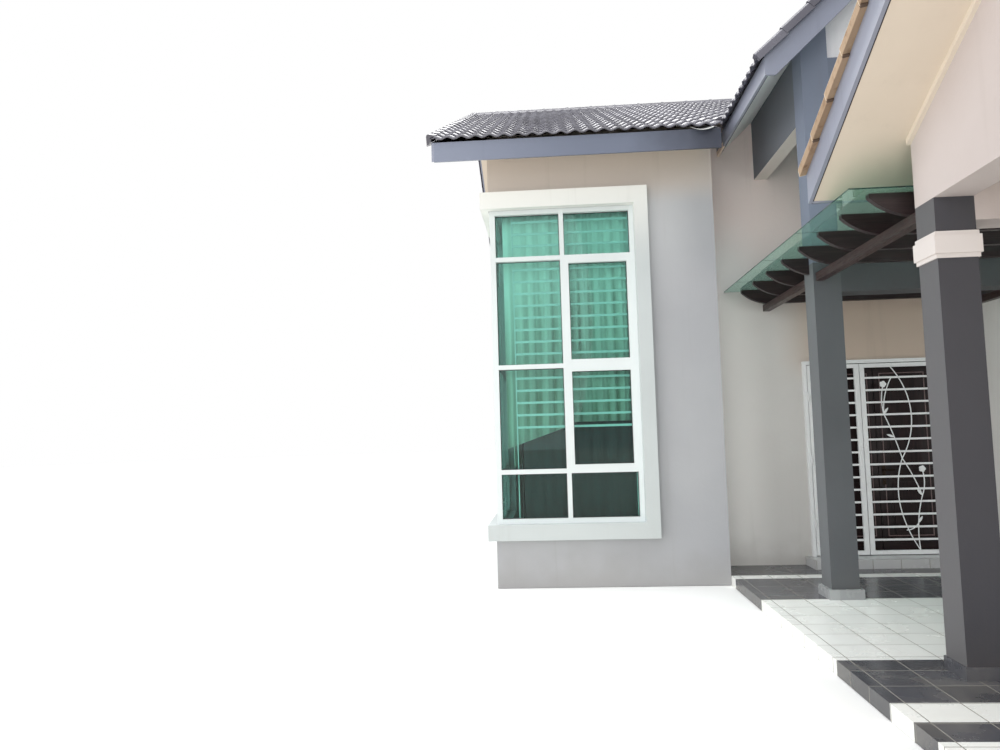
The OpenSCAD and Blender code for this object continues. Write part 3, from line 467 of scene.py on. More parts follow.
def cut_away(bm, place, outward):
    """Cuts off what lies beyond a plane, and closes the cut tiles."""
    cut = bmesh.ops.bisect_plane(bm, geom=bm.verts[:] + bm.edges[:] + bm.faces[:],
                                 plane_co=place, plane_no=outward, clear_outer=True,
                                 dist=0.0001)
    edges = [e for e in cut["geom_cut"] if isinstance(e, bmesh.types.BMEdge)]
    if edges:
        bmesh.ops.edgeloop_fill(bm, edges=edges)


def finish_piece(bm, name, finish, body="house", replaces=(), sharp=35):
    """Makes the piece's object, smooth apart from its sharp edges."""
    for edge in bm.edges:
        if len(edge.link_faces) == 2 and edge.calc_face_angle() > math.radians(sharp):
            edge.smooth = False
    for face in bm.faces:
        face.smooth = True
    made = set_in_scene(bm, name, finish)
    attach(made, body)
    if replaces:
        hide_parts(*replaces)


def lay_out(bm, field):
    """Carries the whole bmesh to its place in the row frame."""
    bmesh.ops.transform(bm, matrix=field, verts=bm.verts)


def joined(parts):
    """All the bmeshes in the list as one."""
    whole = parts[0]
    for part in parts[1:]:
        spare = bpy.data.meshes.new("spare")
        part.to_mesh(spare)
        part.free()
        whole.from_mesh(spare)
        bpy.data.meshes.remove(spare)
    return whole


def roof_frame(origin, along, climb):
    """Matrix from a tile field laid flat to its place on the roof."""
    along, climb = Vector(along), Vector(climb)
    up = along.cross(climb)
    turned = Matrix((along, climb, up)).transposed().to_4x4()
    return Matrix.Translation(origin) @ turned


nose_inset, main_lift, main_steeper = 0.081, 0.012, math.radians(0.35)


def slope_frame(node, facing, pitch, lift=0.0, steeper=0.0):
    """Frame of a slope whose eave runs along X and looks to -Y or +Y. The noses
    stay behind the edge of the CAD roof; lift and steeper raise the tiles on
    their battens, at the eave and towards the ridge."""
    low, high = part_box(node)
    eave = low.y if facing < 0 else high.y
    start = low.x if facing < 0 else high.x
    climb = Vector((0, -facing * math.cos(pitch + steeper), math.sin(pitch + steeper)))
    inset = nose_inset * math.tan(pitch)
    return roof_frame(Vector((start, eave, low.z + lift)) + climb * inset,
                      (-facing, 0, 0), climb)


def carried(tree, name):
    """A value that the piece's own mesh carries."""
    return put(tree, "ShaderNodeAttribute", attribute_name=name).outputs["Fac"]


glazed_tile, tree, shader = new_finish("charcoal_roof_tile")
where = on_house(tree)
colour = mixed(tree, carried(tree, "tile_shade"), tint(72, 70, 81), tint(94, 92, 104))
colour = mixed(tree, ramp(tree, cloud(tree, where, 1.1, 5.0), 0.45, 0.75), colour,
               tint(108, 107, 117))
colour = mixed(tree, reckon(tree, "MULTIPLY", ramp(tree, cloud(tree, where, 38.0, 4.0), 0.55, 0.8),
                            0.35), colour, tint(70, 70, 78))
colour_and_gloss(tree, shader, colour, cloud(tree, where, 9.0, 4.0), 0.22, 0.16)
shader.inputs["Specular IOR Level"].default_value = 0.9
relief(tree, shader, cloud(tree, where, 120.0, 3.0), 0.0012)

main_pitch, entry_pitch, porch_pitch = (math.radians(a) for a in (25, 43, 27))

front_low, front_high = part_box("main_roof_front")
main_width = front_high.x - front_low.x
main_slope = (front_high.y - front_low.y) / math.cos(main_pitch)
recess_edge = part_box("living_front_wall")[0].x
entry_low, entry_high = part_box("entry_roof_right")
entry_edge = entry_high.x
valley_start = wall_face + 0.084
verge_under = 0.030


def square_to_valley(side):
    """Level line square to the valley on that side, out of the entry roof."""
    run = Vector((-side * entry_edge, entry_high.y - valley_start, 0)).normalized()
    return Vector((side * run.y, -side * run.x, 0))


field = slope_frame("main_roof_front", -1, main_pitch, main_lift, main_steeper)
for side, name in ((-1, "main_roof_front_left_tiles"), (1, "main_roof_front_right_tiles")):
    parts = []
    for upper in (False, True):
        part = tile_field(main_width, main_slope, 11)
        lay_out(part, field)
        cut_away(part, (0, 0, 0), (-side, 0, 0))
        cut_away(part, (side * (front_high.x - verge_under), 0, 0), (side, 0, 0))
        cut_away(part, (0, front_high.y, 0), (0, 1, 0))
        if upper:
            cut_away(part, (0, valley_start, 0), (0, -1, 0))
            cut_away(part, (side * entry_edge, valley_start, 0), -square_to_valley(side))
        else:
            cut_away(part, (0, valley_start, 0), (0, 1, 0))
            cut_away(part, (side * recess_edge, 0, 0), (-side, 0, 0))
        parts.append(part)
    finish_piece(joined(parts), name, glazed_tile, replaces=["main_roof_front"])

rear_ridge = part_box("main_roof_rear")[0].y
field = slope_frame("main_roof_rear", 1, main_pitch, main_lift, main_steeper)
bm = tile_field(main_width, main_slope, 12)
lay_out(bm, field)
cut_away(bm, (0, rear_ridge, 0), (0, -1, 0))
for side in (-1, 1):
    cut_away(bm, (side * (front_high.x - verge_under), 0, 0), (side, 0, 0))
finish_piece(bm, "main_roof_rear_tiles", glazed_tile, replaces=["main_roof_rear"])

# Entry gable roof: the same tiles on a steep pitch, from the fascias on each
# side up to the ridge, cut off at the back along the valleys.
valley_gap = 0.01
entry_slope = entry_edge / math.cos(entry_pitch)


def steep_frame(side, start):
    """Frame of the entry roof's slope on that side, from that place along its eave."""
    climb = (-side * math.cos(entry_pitch), 0, math.sin(entry_pitch))
    return roof_frame((side * entry_edge, start, entry_low.z), (0, side, 0), climb)


for side, node in ((-1, "entry_roof_left"), (1, "entry_roof_right")):
    length = math.ceil((entry_high.y - entry_low.y) / tile_cover) * tile_cover
    start = entry_low.y if side > 0 else entry_low.y + length
    bm = tile_field(length, entry_slope, 20 + side)
    lay_out(bm, steep_frame(side, start))
    cut_away(bm, (0, 0, 0), (-side, 0, 0))
    cut_away(bm, (0, entry_low.y + verge_under, 0), (0, -1, 0))
    cut_away(bm, (side * (entry_edge - valley_gap), valley_start, 0), square_to_valley(side))
    finish_piece(bm, node + "_tiles", glazed_tile, replaces=[node])

# Car porch roof: two slopes of the same tiles, with eaves to the front and to
# the house.
for node, facing in (("porch_roof_front", -1), ("porch_roof_rear", 1)):
    low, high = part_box(node)
    field = slope_frame(node, facing, porch_pitch)
    bm = tile_field(high.x - low.x, (high.y - low.y) / math.cos(porch_pitch), 30 + facing)
    lay_out(bm, field)
    cut_away(bm, (0, low.y if facing > 0 else high.y, 0), (0, -facing, 0))
    cut_away(bm, (low.x + verge_under, 0, 0), (-1, 0, 0))
    cut_away(bm, (high.x - verge_under, 0, 0), (1, 0, 0))
    finish_piece(bm, node + "_tiles", glazed_tile, replaces=[node])

# Verges: edge tiles with a rounded top and a skirt close each sloping edge, lap
# over the one below and are filled with mortar. The car porch has them in bare
# tan concrete, paler on the faces that look up as painted highlight, with a band
# of painted shade just below each lap and a paler lip at each nose; the other
# roofs have them in the tile colour.
verge_wide, verge_top, verge_round, verge_foot = 0.085, 0.080, 0.026, 0.050
verge_lap, verge_raise, verge_taper, verge_shoulder = 0.014, 0.012, 0.004, 0.012
verge_sole, round_steps, most_verge_tiles = 0.002, 4, 40


def verge_row(field, width, far, slope, skirt):
    """One row of edge tiles from the eave to the ridge, placed by a matrix; far
    is true at the far end of the eave."""
    bm = bmesh.new()
    reach = bm.verts.layers.float.new("tile_reach")
    outline = [(verge_foot, verge_sole), (0, -skirt)]
    for step in range(round_steps + 1):
        angle = math.pi - step * math.pi / 2 / round_steps
        outline.append((verge_round + verge_round * math.cos(angle),
                        verge_top - verge_round + verge_round * math.sin(angle)))
    outline += [(verge_wide, verge_top - verge_shoulder), (verge_wide, verge_under),
                (verge_foot, verge_under)]
    if far:
        outline = [(width - x, z) for x, z in reversed(outline)]
    face = bm.faces.new([bm.verts.new((x, 0, z)) for x, z in outline])
    inwards = -verge_taper if far else verge_taper
    for v in pulled(bm, [face], (inwards, tile_course + verge_lap, -verge_raise)):
        v[reach] = 1 + verge_lap / tile_course
    bmesh.ops.recalc_face_normals(bm, faces=bm.faces)
    repeat(bm, (0, tile_course, 0), math.ceil(slope / tile_course))
    shade_tiles(bm, int(slope * 1000) + far, most_verge_tiles,
                lambda place: int(place.y / tile_course))
    lay_out(bm, field)
    return bm


bare_concrete, tree, shader = new_finish("tan_verge_concrete")
where = on_house(tree)
reach = carried(tree, "tile_reach")
colour = mixed(tree, carried(tree, "tile_shade"), tint(162, 136, 110), tint(178, 153, 128))
colour = mixed(tree, ramp(tree, cloud(tree, where, 14.0, 5.0), 0.48, 0.75), colour,
               tint(136, 108, 82))
# Painted highlight: the faces that look up are paler.
colour = mixed(tree, ramp(tree, faces_to(tree, "Z"), 0.15, 0.5), colour, tint(218, 206, 190))
# Painted shade: a dark band just below the nose of the next tile.
colour = mixed(tree, ramp(tree, reach, 0.978, 0.984), colour, tint(98, 79, 66))
# The lowest few millimetres of each tile are paler.
colour = mixed(tree, ramp(tree, reach, 0.022, 0.012), colour, tint(212, 194, 170))
tree.links.new(colour, shader.inputs["Base Color"])
shader.inputs["Roughness"].default_value = 0.85
relief(tree, shader, cloud(tree, where, 90.0, 4.0), 0.002)


def verge_rows(nodes, pitch, skirt, lift=0.0, steeper=0.0):
    """The edge tiles of a roof with two slopes, both ends of each."""
    rows = []
    for node, facing in zip(nodes, (-1, 1)):
        low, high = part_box(node)
        inner = high.y if facing < 0 else low.y
        field = slope_frame(node, facing, pitch, lift, steeper)
        for far in (False, True):
            row = verge_row(field, high.x - low.x, far, (high.y - low.y) / math.cos(pitch), skirt)
            cut_away(row, (0, inner, 0), (0, -facing, 0))
            rows.append(row)
    return rows


porch_skirt, main_skirt, entry_skirt = 0.012, 0.046, 0.004
finish_piece(joined(verge_rows(("porch_roof_front", "porch_roof_rear"), porch_pitch, porch_skirt)),
             "porch_verge_tiles", bare_concrete)

rows = verge_rows(("main_roof_front", "main_roof_rear"), main_pitch, main_skirt, main_lift,
                  main_steeper)
for side in (-1, 1):
    row = verge_row(steep_frame(side, entry_low.y), 0.0, side < 0, entry_slope, entry_skirt)
    cut_away(row, (0, 0, 0), (-side, 0, 0))
    rows.append(row)
finish_piece(joined(rows), "charcoal_verge_tiles", glazed_tile)

# Ridges: half-round tiles 420 mm long, each with a collar that covers the end
# of the next, bedded on both slopes in a grey mortar that shows below them.
cap_length, cap_lap, cap_outer, cap_inner = 0.420, 0.045, 0.125, 0.106
cap_body, cap_sunk, cap_droop, cap_steps = 0.118, 0.038, math.radians(14), 14
bed_top, bed_deep, bed_out, bed_short = 0.012, 0.030, 0.022, 0.002
ridge_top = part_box("roof_ridges")[1].z
porch_low, porch_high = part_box("porch_roof_front")


def ridge_row(length):
    """Cap tiles along X from the origin, with the middle of the round on the axis."""
    bm = bmesh.new()
    outline = [(0, cap_inner), (cap_length, cap_inner), (cap_length, cap_body),
               (cap_lap, cap_body), (cap_lap, cap_outer), (0, cap_outer)]
    corners = [bm.verts.new((x, -r * math.cos(cap_droop), -r * math.sin(cap_droop)))
               for x, r in outline]
    face = bm.faces.new(corners)
    bmesh.ops.spin(bm, geom=[face] + face.edges[:] + corners, cent=(0, 0, 0), axis=(-1, 0, 0),
                   dvec=(0, 0, 0), angle=math.pi + 2 * cap_droop, steps=cap_steps,
                   use_duplicate=False)
    bmesh.ops.recalc_face_normals(bm, faces=bm.faces)
    count = math.ceil(length / cap_length)
    step = (length - cap_lap) / count
    bmesh.ops.scale(bm, vec=((step + cap_lap * 0.5) / cap_length, 1, 1), verts=bm.verts)
    repeat(bm, (step, 0, 0), count)
    shade_tiles(bm, int(length * 100), count + 1, lambda place: int(max(place.x, 0) / step))
    return bm


def bedding(length, pitch, peak):
    """Mortar under the caps, along X, on both slopes; peak is the height at
    which the slopes meet above the middle of the round."""
    bm = bmesh.new()
    reach = cap_outer + bed_out
    foot = peak - reach * math.tan(pitch)
    outline = [(-reach, foot - bed_deep), (reach, foot - bed_deep), (reach, foot + bed_top),
               (0, peak + bed_top), (-reach, foot + bed_top)]
    pulled(bm, [bm.faces.new([bm.verts.new((0, y, z)) for y, z in outline])], (length, 0, 0))
    bmesh.ops.recalc_face_normals(bm, faces=bm.faces)
    return bm


def seat(pitch):
    """How far the middle of a cap's round lies below the peak of the slopes."""
    return cap_outer * math.sin(pitch) / 2


caps, beds = [], []
under_main = 0.1
for origin, heading, length, pitch, sunk in (
        ((front_low.x, front_high.y, ridge_top - cap_outer - cap_sunk), 0, main_width,
         main_pitch, cap_sunk),
        ((porch_low.x, porch_high.y, porch_high.z - seat(porch_pitch)), 0,
         porch_high.x - porch_low.x, porch_pitch, 0.0),
        ((0, entry_low.y, entry_high.z - seat(entry_pitch)), math.pi / 2,
         entry_high.y - entry_low.y + under_main, entry_pitch, 0.0)):
    field = Matrix.Translation(origin) @ Matrix.Rotation(heading, 4, "Z")
    row = ridge_row(length)
    lay_out(row, field)
    bed_row = bedding(length - 2 * bed_short, pitch, seat(pitch) + sunk)
    lay_out(bed_row, field @ Matrix.Translation((bed_short, 0, 0)))
    caps.append(row)
    beds.append(bed_row)
finish_piece(joined(caps), "ridge_cap_tiles", glazed_tile, replaces=["roof_ridges"])


def mottled(name, first, second, scale, detail, roughness):
    """Finish in soft clouds of two colours: the material, its tree and its shader."""
    made, tree, shader = new_finish(name)
    tree.links.new(mixed(tree, cloud(tree, on_house(tree), scale, detail), first, second),
                   shader.inputs["Base Color"])
    shader.inputs["Roughness"].default_value = roughness
    return made, tree, shader


ridge_mortar, tree, shader = mottled("grey_ridge_mortar", tint(96, 94, 92), tint(140, 137, 132),
                                     22.0, 5.0, 0.92)
relief(tree, shader, cloud(tree, on_house(tree), 70.0, 4.0), 0.003)
finish_piece(joined(beds), "ridge_mortar_beds", ridge_mortar)

# Valleys: folded aluminium trays carry the rain between the entry gable and
# the main roof, and show as a narrow channel between the cut tiles.
tray_half, tray_thick, tray_rise, uncut_size = 0.17, 0.003, 0.008, 30
tray_metal, tree, shader = new_finish("grey_valley_aluminium")
where = on_house(tree)
colour = mixed(tree, cloud(tree, where, 6.0, 4.0), tint(150, 153, 158), tint(112, 114, 118))
colour_and_gloss(tree, shader, colour, cloud(tree, where, 30.0, 3.0), 0.2, 0.35)
shader.inputs["Metallic"].default_value = 0.8
trays = []
main_field = roof_frame(front_low, (1, 0, 0), (0, math.cos(main_pitch), math.sin(main_pitch)))
for side in (-1, 1):
    away = square_to_valley(side)
    for field, outward in ((main_field, away), (steep_frame(side, entry_low.y), -away)):
        tray = bmesh.new()
        bmesh.ops.create_cube(tray, size=1)
        bmesh.ops.scale(tray, vec=(uncut_size, uncut_size, tray_thick), verts=tray.verts)
        bmesh.ops.translate(tray, verts=tray.verts, vec=(0, 0, tray_rise))
        lay_out(tray, field)
        start = Vector((side * entry_edge, valley_start, 0))
        cut_away(tray, start, -outward)
        cut_away(tray, start + outward * tray_half, outward)
        cut_away(tray, (0, valley_start, 0), (0, -1, 0))
        cut_away(tray, (0, 0, 0), (-side, 0, 0))
        trays.append(tray)
finish_piece(joined(trays), "valley_trays", tray_metal)

# Eave flashings: a short white sheet under the last tiles on each side of the
# entry, with a sagging lip that throws the valley water clear of the fascia.
lip_from, lip_to, lip_out, lip_in, lip_sag = 1.97, 2.19, 0.028, 0.30, 0.024
lip_rise, lip_thick = 0.022, 0.003
bm = bmesh.new()
for side in (-1, 1):
    sheet = bmesh.ops.create_grid(bm, x_segments=8, y_segments=1, size=0.5)["verts"]
    for v in sheet:
        share, up = v.co.x + 0.5, -lip_out + (v.co.y + 0.5) * (lip_in + lip_out)
        v.co = (side * (lip_from + share * (lip_to - lip_from)), front_low.y + up,
                front_low.z + lip_rise + up * math.tan(main_pitch)
                - lip_sag * math.sin(math.pi * share))
bmesh.ops.recalc_face_normals(bm, faces=bm.faces)
bmesh.ops.solidify(bm, geom=bm.faces[:], thickness=lip_thick)
flashing_white = mottled("white_flashing_paint", tint(250, 250, 248), tint(228, 228, 226),
                         20.0, 4.0, 0.4)[0]
finish_piece(bm, "eave_flashings", flashing_white)

# Fascias and bargeboards: planed boards in a blue-grey gloss, cream at the ends
# beside the entry wall; the front fascias carry painted shade, deeper towards the
# entry and darkest below the valleys. The soffits are painted cement sheets, with
# dark strips of painted shadow where they meet the bargeboards.
def glossed(name, light, deep, *overlays):
    """Gloss-painted board, with colours laid over it, each given with the function of its mask: a
    cream end, or painted shade.
    """
    made, tree, shader = new_finish(name)
    coat = place_group(tree, trowelled)
    colour = mixed(tree, coat["Tone"], light, deep)
    colour = mixed(tree, reckon(tree, "MULTIPLY", coat["Runs"], 0.25), colour, tint(88, 90, 100))
    for overlay, mask in overlays:
        colour = mixed(tree, mask(tree), colour, overlay)
    colour_and_gloss(tree, shader, colour, coat["Tone"], 0.12, 0.34)
    relief(tree, shader, coat["Relief"], 0.0016)
    return made


def inner_half(tree):
    """Mask of painted shade towards the entry."""
    return ramp(tree, from_middle(tree), 4.9, 3.2)


def below_valley(tree):
    """Mask of the darkest painted shade on the front boards, below the valleys."""
    wavy = reckon(tree, "MULTIPLY_ADD", cloud(tree, on_house(tree), 3.0), 0.6,
                  from_middle(tree))
    valley_shade = reckon(tree, "MULTIPLY", ramp(tree, wavy, 3.2, 2.2), 0.85)
    return reckon(tree, "MULTIPLY", valley_shade, reckon(tree, "LESS_THAN", place_of(tree, "Y"), 0.0))


def inner_end(tree):
    """Mask of the lower ends of the boards beside the entry wall."""
    end = ramp(tree, place_of(tree, "Y"), -0.13, -0.10)
    return reckon(tree, "MULTIPLY", end,
                  reckon(tree, "LESS_THAN", place_of(tree, "Z"), cream_end_top))


cream_end_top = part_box("entry_fascias")[0].z + 0.055
board_light, board_deep = tint(138, 142, 158), tint(150, 154, 170)
dress(glossed("blue_grey_board_gloss", board_light, board_deep), "main_bargeboards",
      "entry_bargeboards", "porch_fascias", "porch_bargeboards")
dress(glossed("blue_grey_gloss_with_cream_end", board_light, board_deep,
              (tint(252, 230, 210), inner_end)), "entry_fascias")
# Painted shade: the front fascias are darker than the other boards, more so towards the entry and
# below the valleys.
dress(glossed("board_gloss_with_painted_shade", tint(126, 132, 150), tint(134, 140, 158),
              (tint(108, 115, 133), inner_half), (tint(50, 52, 64), below_valley)),
      "main_fascias")
soffit_coat = {"roughness": 0.82, "runs": 0.05, "splash": 0.0, "depth": 0.003}
dress(coated("cream_soffit_emulsion", tint(226, 213, 197), tint(218, 204, 187), **soffit_coat),
      "main_soffits", "porch_soffits", "porch_ceiling")
dress(coated("pale_grey_soffit_emulsion", tint(252, 253, 253), tint(246, 247, 247),
             **soffit_coat), "entry_soffits")
# Painted shadow: dark strips stand for the shadow in the gap between soffit and bargeboard.
gap_shadow_black = mottled("dark_joint_shadow", tint(40, 36, 40), tint(62, 56, 58), 18.0, 3.0, 0.8)[0]


def add_bar(bm, low, high, soften=0.0):
    """A straight bar between two corners, with its edges eased."""
    made = bmesh.ops.create_cube(bm, size=1)["verts"]
    low, high = Vector(low), Vector(high)
    bmesh.ops.scale(bm, vec=high - low, verts=made)
    bmesh.ops.translate(bm, verts=made, vec=(low + high) / 2)
    if soften:
        edges = dict.fromkeys(e for v in made for e in v.link_edges)
        bmesh.ops.bevel(bm, geom=list(edges), offset=soften, segments=1, profile=0.5,
                        affect="EDGES", material=-1)
    return made


def raked_strip(eave, peak_y, pitch, x0, x1, below, over):
    """Strip along a verge that follows the soffit line from eave to ridge."""
    bm = bmesh.new()
    reach = peak_y - eave[1]
    made = add_bar(bm, (x0, 0, -below), (x1, abs(reach), over))
    for v in made:
        v.co.z += eave[2] + v.co.y * math.tan(pitch)
        v.co.y = eave[1] + math.copysign(v.co.y, reach)
    bmesh.ops.recalc_face_normals(bm, faces=bm.faces)
    return bm


shadow_strip_wide, shadow_strip_below, strip_above, board = 0.007, 0.0015, 0.004, 0.025
porch_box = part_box("porch_bargeboards")
porch_mid = porch_high.y
soffit_eave = porch_box[0].z
strips = []
for x0 in (porch_box[0].x + board, porch_box[1].x - board - shadow_strip_wide):
    for eave_y in (porch_box[0].y, porch_box[1].y):
        strips.append(raked_strip((0, eave_y, soffit_eave), porch_mid, porch_pitch, x0,
                                  x0 + shadow_strip_wide, shadow_strip_below, strip_above))
finish_piece(joined(strips), "porch_soffit_shadow_strips", gap_shadow_black)

# The same strips of painted shadow run along the entry soffits.
entry_soffit_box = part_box("entry_soffits")
entry_shadow_strip, wall_gap = 0.052, 0.002
bm = bmesh.new()
for side in (-1, 1):
    edge = side * entry_soffit_box[1].x
    inner = edge - side * entry_shadow_strip
    made = add_bar(bm, (min(edge, inner), entry_soffit_box[0].y, -shadow_strip_below),
                   (max(edge, inner), entry_soffit_box[1].y - wall_gap, wall_gap))
    for v in made:
        v.co.z += entry_soffit_box[0].z + abs(v.co.x - edge) * math.tan(entry_pitch)
finish_piece(bm, "entry_soffit_shadow_strips", gap_shadow_black)

# Entry portico: rendered beams and square columns in two blue-greys under the
# steep gable, a white panel set back in the gable, and pale tiled feet.
def facing_down(tree):
    """Mask of the undersides."""
    return ramp(tree, faces_to(tree, "Z"), -0.5, -0.7)


def lit_sides(tree):
    """Mask of the faces to the left and right, which painted light makes paler on the columns."""
    return square_to(tree, "X", 0.5, 0.7)


def painted(node, name, light, thin, roughness, splash, *others):
    """Rolls emulsion on one node; each of the others is a colour and its mask."""
    dress(coated(name, light, thin, roughness=roughness, runs=0.10, splash=splash,
                 others=others), node)


paint_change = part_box("canopy_rafters")[0].z + 0.10
upper_blue = tint(122, 130, 147)
painted("entry_front_beam", "blue_grey_beam_emulsion", upper_blue, tint(110, 117, 133), 0.66,
        0.0)
painted("entry_side_beams", "side_beam_emulsion", tint(112, 116, 124), tint(100, 104, 112),
        0.66, 0.0, (tint(226, 214, 209), facing_down))
# Painted light: the side faces of the entry columns are paler, as if lit from the left.
painted("entry_columns", "two_tone_entry_column_emulsion_lit_sides", tint(91, 94, 98), tint(81, 84, 88),
        0.62, 0.12, (tint(107, 110, 113), lit_sides),
        (upper_blue, above(paint_change - 0.002, paint_change)))
painted("link_beam", "slate_grey_beam_emulsion", tint(78, 80, 83), tint(70, 72, 75), 0.62, 0.0)
painted("entry_gable_panel", "white_gable_emulsion", tint(255, 253, 254), tint(249, 247, 248),
        0.6, 0.0)


def foot_tiles(name, light, deep):
    """Small glazed tiles round a column foot."""
    made, tree, shader = new_finish(name)
    tiles = place_group(tree, laid)
    glaze = mixed(tree, tiles["Shade"], light, deep)
    glaze = mixed(tree, reckon(tree, "MULTIPLY", tiles["Dust"], 0.3), glaze, tint(150, 146, 138))
    colour_and_gloss(tree, shader, glaze, tiles["Dust"], 0.3, 0.22)
    return made


dress(foot_tiles("grey_foot_tiles", tint(166, 168, 169), tint(154, 156, 158)),
      "entry_column_feet")

# Canopy: tinted glass on hardwood rafters with curved tips, which sit on two
# long purlins. The timber is stained dark red-brown and the stain thins along
# the grain.
grained, ends = start_group("timber_grain", "Figure", "Pores")
grained.interface.new_socket("Along", in_out="INPUT", socket_type="NodeSocketVector")
tree = grained
along = put(tree, "NodeGroupInput").outputs["Along"]
wander = put(tree, "ShaderNodeTexNoise", {"Vector": along}, Scale=1.0, Detail=5.0,
             Distortion=1.6).outputs["Fac"]
tree.links.new(ramp(tree, wander, 0.30, 0.72), ends.inputs["Figure"])
fine = put(tree, "ShaderNodeTexNoise", {"Vector": along}, Scale=6.0, Detail=3.0).outputs["Fac"]
tree.links.new(ramp(tree, fine, 0.45, 0.75), ends.inputs["Pores"])


def grain_along(tree, long_axis):
    """The place, squeezed so that the grain runs along X, Y or Z."""
    squeeze = tuple(1.4 if axis == long_axis else 26.0 for axis in "XYZ")
    return put(tree, "ShaderNodeMapping", {"Vector": on_house(tree)}, Scale=squeeze).outputs[0]


def timbered(name, dark, light, long_axis):
    """Stained hardwood whose grain runs along X, Y or Z."""
    made, tree, shader = new_finish(name)
    grain = place_group(tree, grained, Along=grain_along(tree, long_axis))
    colour = mixed(tree, grain["Figure"], dark, light)
    colour = mixed(tree, reckon(tree, "MULTIPLY", grain["Pores"], 0.35), colour,
                   tuple(c * 0.4 for c in dark[:3]) + (1.0,))
    colour_and_gloss(tree, shader, colour, grain["Pores"], 0.2, 0.35)
    relief(tree, shader, grain["Pores"], 0.0015, 0.5)
    return made


dress(timbered("dark_stained_rafters", tint(38, 27, 29), tint(54, 40, 41), "X"),
      "canopy_rafters")
dress(timbered("dark_stained_purlins", tint(46, 30, 30), tint(66, 45, 43), "Y"),
      "canopy_purlins")


def tinted_glass(name, tinge, edge_tinge, ior, film, clear=1.0):
    """Float glass with a thin film of dust, and its own tinge at its cut edges
    where one is given."""
    made, tree, shader = new_finish(name)
    shader.inputs["Transmission Weight"].default_value = clear
    shader.inputs["IOR"].default_value = ior
    dusty = ramp(tree, cloud(tree, on_house(tree), 2.4, 6.0, 0.62), 0.45, 0.85)
    tree.links.new(reckon(tree, "MULTIPLY", dusty, film), shader.inputs["Roughness"])
    if edge_tinge is None:
        colour = mixed(tree, reckon(tree, "MULTIPLY", dusty, 0.4), tinge,
                       tuple(c * 0.93 for c in tinge[:3]) + (1.0,))
    else:
        colour = mixed(tree, square_to(tree, "Z"), edge_tinge, tinge)
    tree.links.new(colour, shader.inputs["Base Color"])
    return made


dress(tinted_glass("green_canopy_glass", (0.56, 0.88, 0.78, 1), (0.02, 0.10, 0.08, 1), 1.45,
                   0.10, clear=0.85), "canopy_glass")

# Car porch: rendered beams and gable walls in cream, with a slim plastered bead
# where the walls meet the sloping soffit, on charcoal columns with moulded white
# bands and tiled feet.
# Painted light: the side faces of the porch columns are paler too.
painted("porch_columns", "charcoal_column_emulsion_lit_sides", tint(69, 68, 74), tint(62, 61, 67), 0.62,
        0.12, (tint(96, 95, 98), lit_sides))
painted("porch_column_bands", "off_white_emulsion", tint(227, 219, 216), tint(219, 211, 208),
        0.6, 0.0)
dress(foot_tiles("charcoal_foot_tiles", tint(76, 77, 84), tint(64, 65, 72)),
      "porch_column_feet")
dress(coated("cream_emulsion", tint(205, 195, 193), tint(197, 186, 183), roughness=0.8,
             runs=0.08, splash=0.0),
      "porch_side_beams", "porch_cross_beams", "porch_gable_walls")
bead, bead_deep = 0.030, 0.040
wall_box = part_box("porch_side_beams")
strips = []
for x0 in (wall_box[0].x - bead, wall_box[1].x):
    for eave_y in (wall_box[0].y, wall_box[1].y):
        gap = abs(eave_y - porch_mid)
        rise = (abs(porch_box[0].y - porch_mid) - gap) * math.tan(porch_pitch)
        strips.append(raked_strip((0, eave_y, soffit_eave + rise), porch_mid, porch_pitch, x0,
                                  x0 + bead, bead_deep, strip_above))
finish_piece(joined(strips), "porch_wall_beads",
             coated("pale_cream_bead_emulsion", tint(232, 220, 205), tint(224, 211, 195),
                    runs=0.05, splash=0.0))

# Corner and plain windows: white powder-coated aluminium sections in moulded
# surrounds, with black gaskets and green-tinted glass, and white security bars
# screwed inside the front faces of the corner windows.
# The white surrounds are painted darker lower down and lighter towards the top: painted shade and
# light.
painted("window_surrounds", "white_surround_emulsion_with_painted_light", tint(202, 208, 208), tint(195, 201, 201),
        0.6, 0.0, (tint(246, 247, 243), above(3.4, 4.4)))
aluminium, tree, shader = new_finish("white_powder_coat")
where = on_house(tree)
colour = mixed(tree, cloud(tree, where, 3.0, 4.0), tint(230, 236, 236), tint(222, 229, 229))
colour_and_gloss(tree, shader, colour, cloud(tree, where, 40.0, 2.0), 0.14, 0.28)
relief(tree, shader, cloud(tree, where, 420.0, 1.0), 0.0004)
dress(aluminium, "corner_window_frames", "plain_window_frames")
dress(tinted_glass("green_window_glass", (0.53, 0.91, 0.83, 1), None, 1.33, 0.03),
      "window_glass")

outer_w, sash_w, glass_face = 0.050, 0.042, 0.060
frame_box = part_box("corner_window_frames")
corner_low, corner_top = frame_box[0].z, frame_box[1].z
corner_x, corner_y = frame_box[0].x, frame_box[0].y
front_length, side_length = 1.612, 1.490
transoms = (1.254, 2.416, 3.636)


def corner_place(side, face, low, high):
    """Low and high corners on a corner window: X along the face from the wall
    corner, Y inwards from the front of the frame, Z up."""
    (x0, y0, z0), (x1, y1, z1) = low, high
    if face == "front":
        a, b = (corner_x + x0, corner_y + y0), (corner_x + x1, corner_y + y1)
    else:
        a, b = (corner_x + y0, corner_y + x0), (corner_x + y1, corner_y + x1)
    xs = sorted((a[0] * -side, b[0] * -side))
    return (xs[0], a[1], z0), (xs[1], b[1], z1)


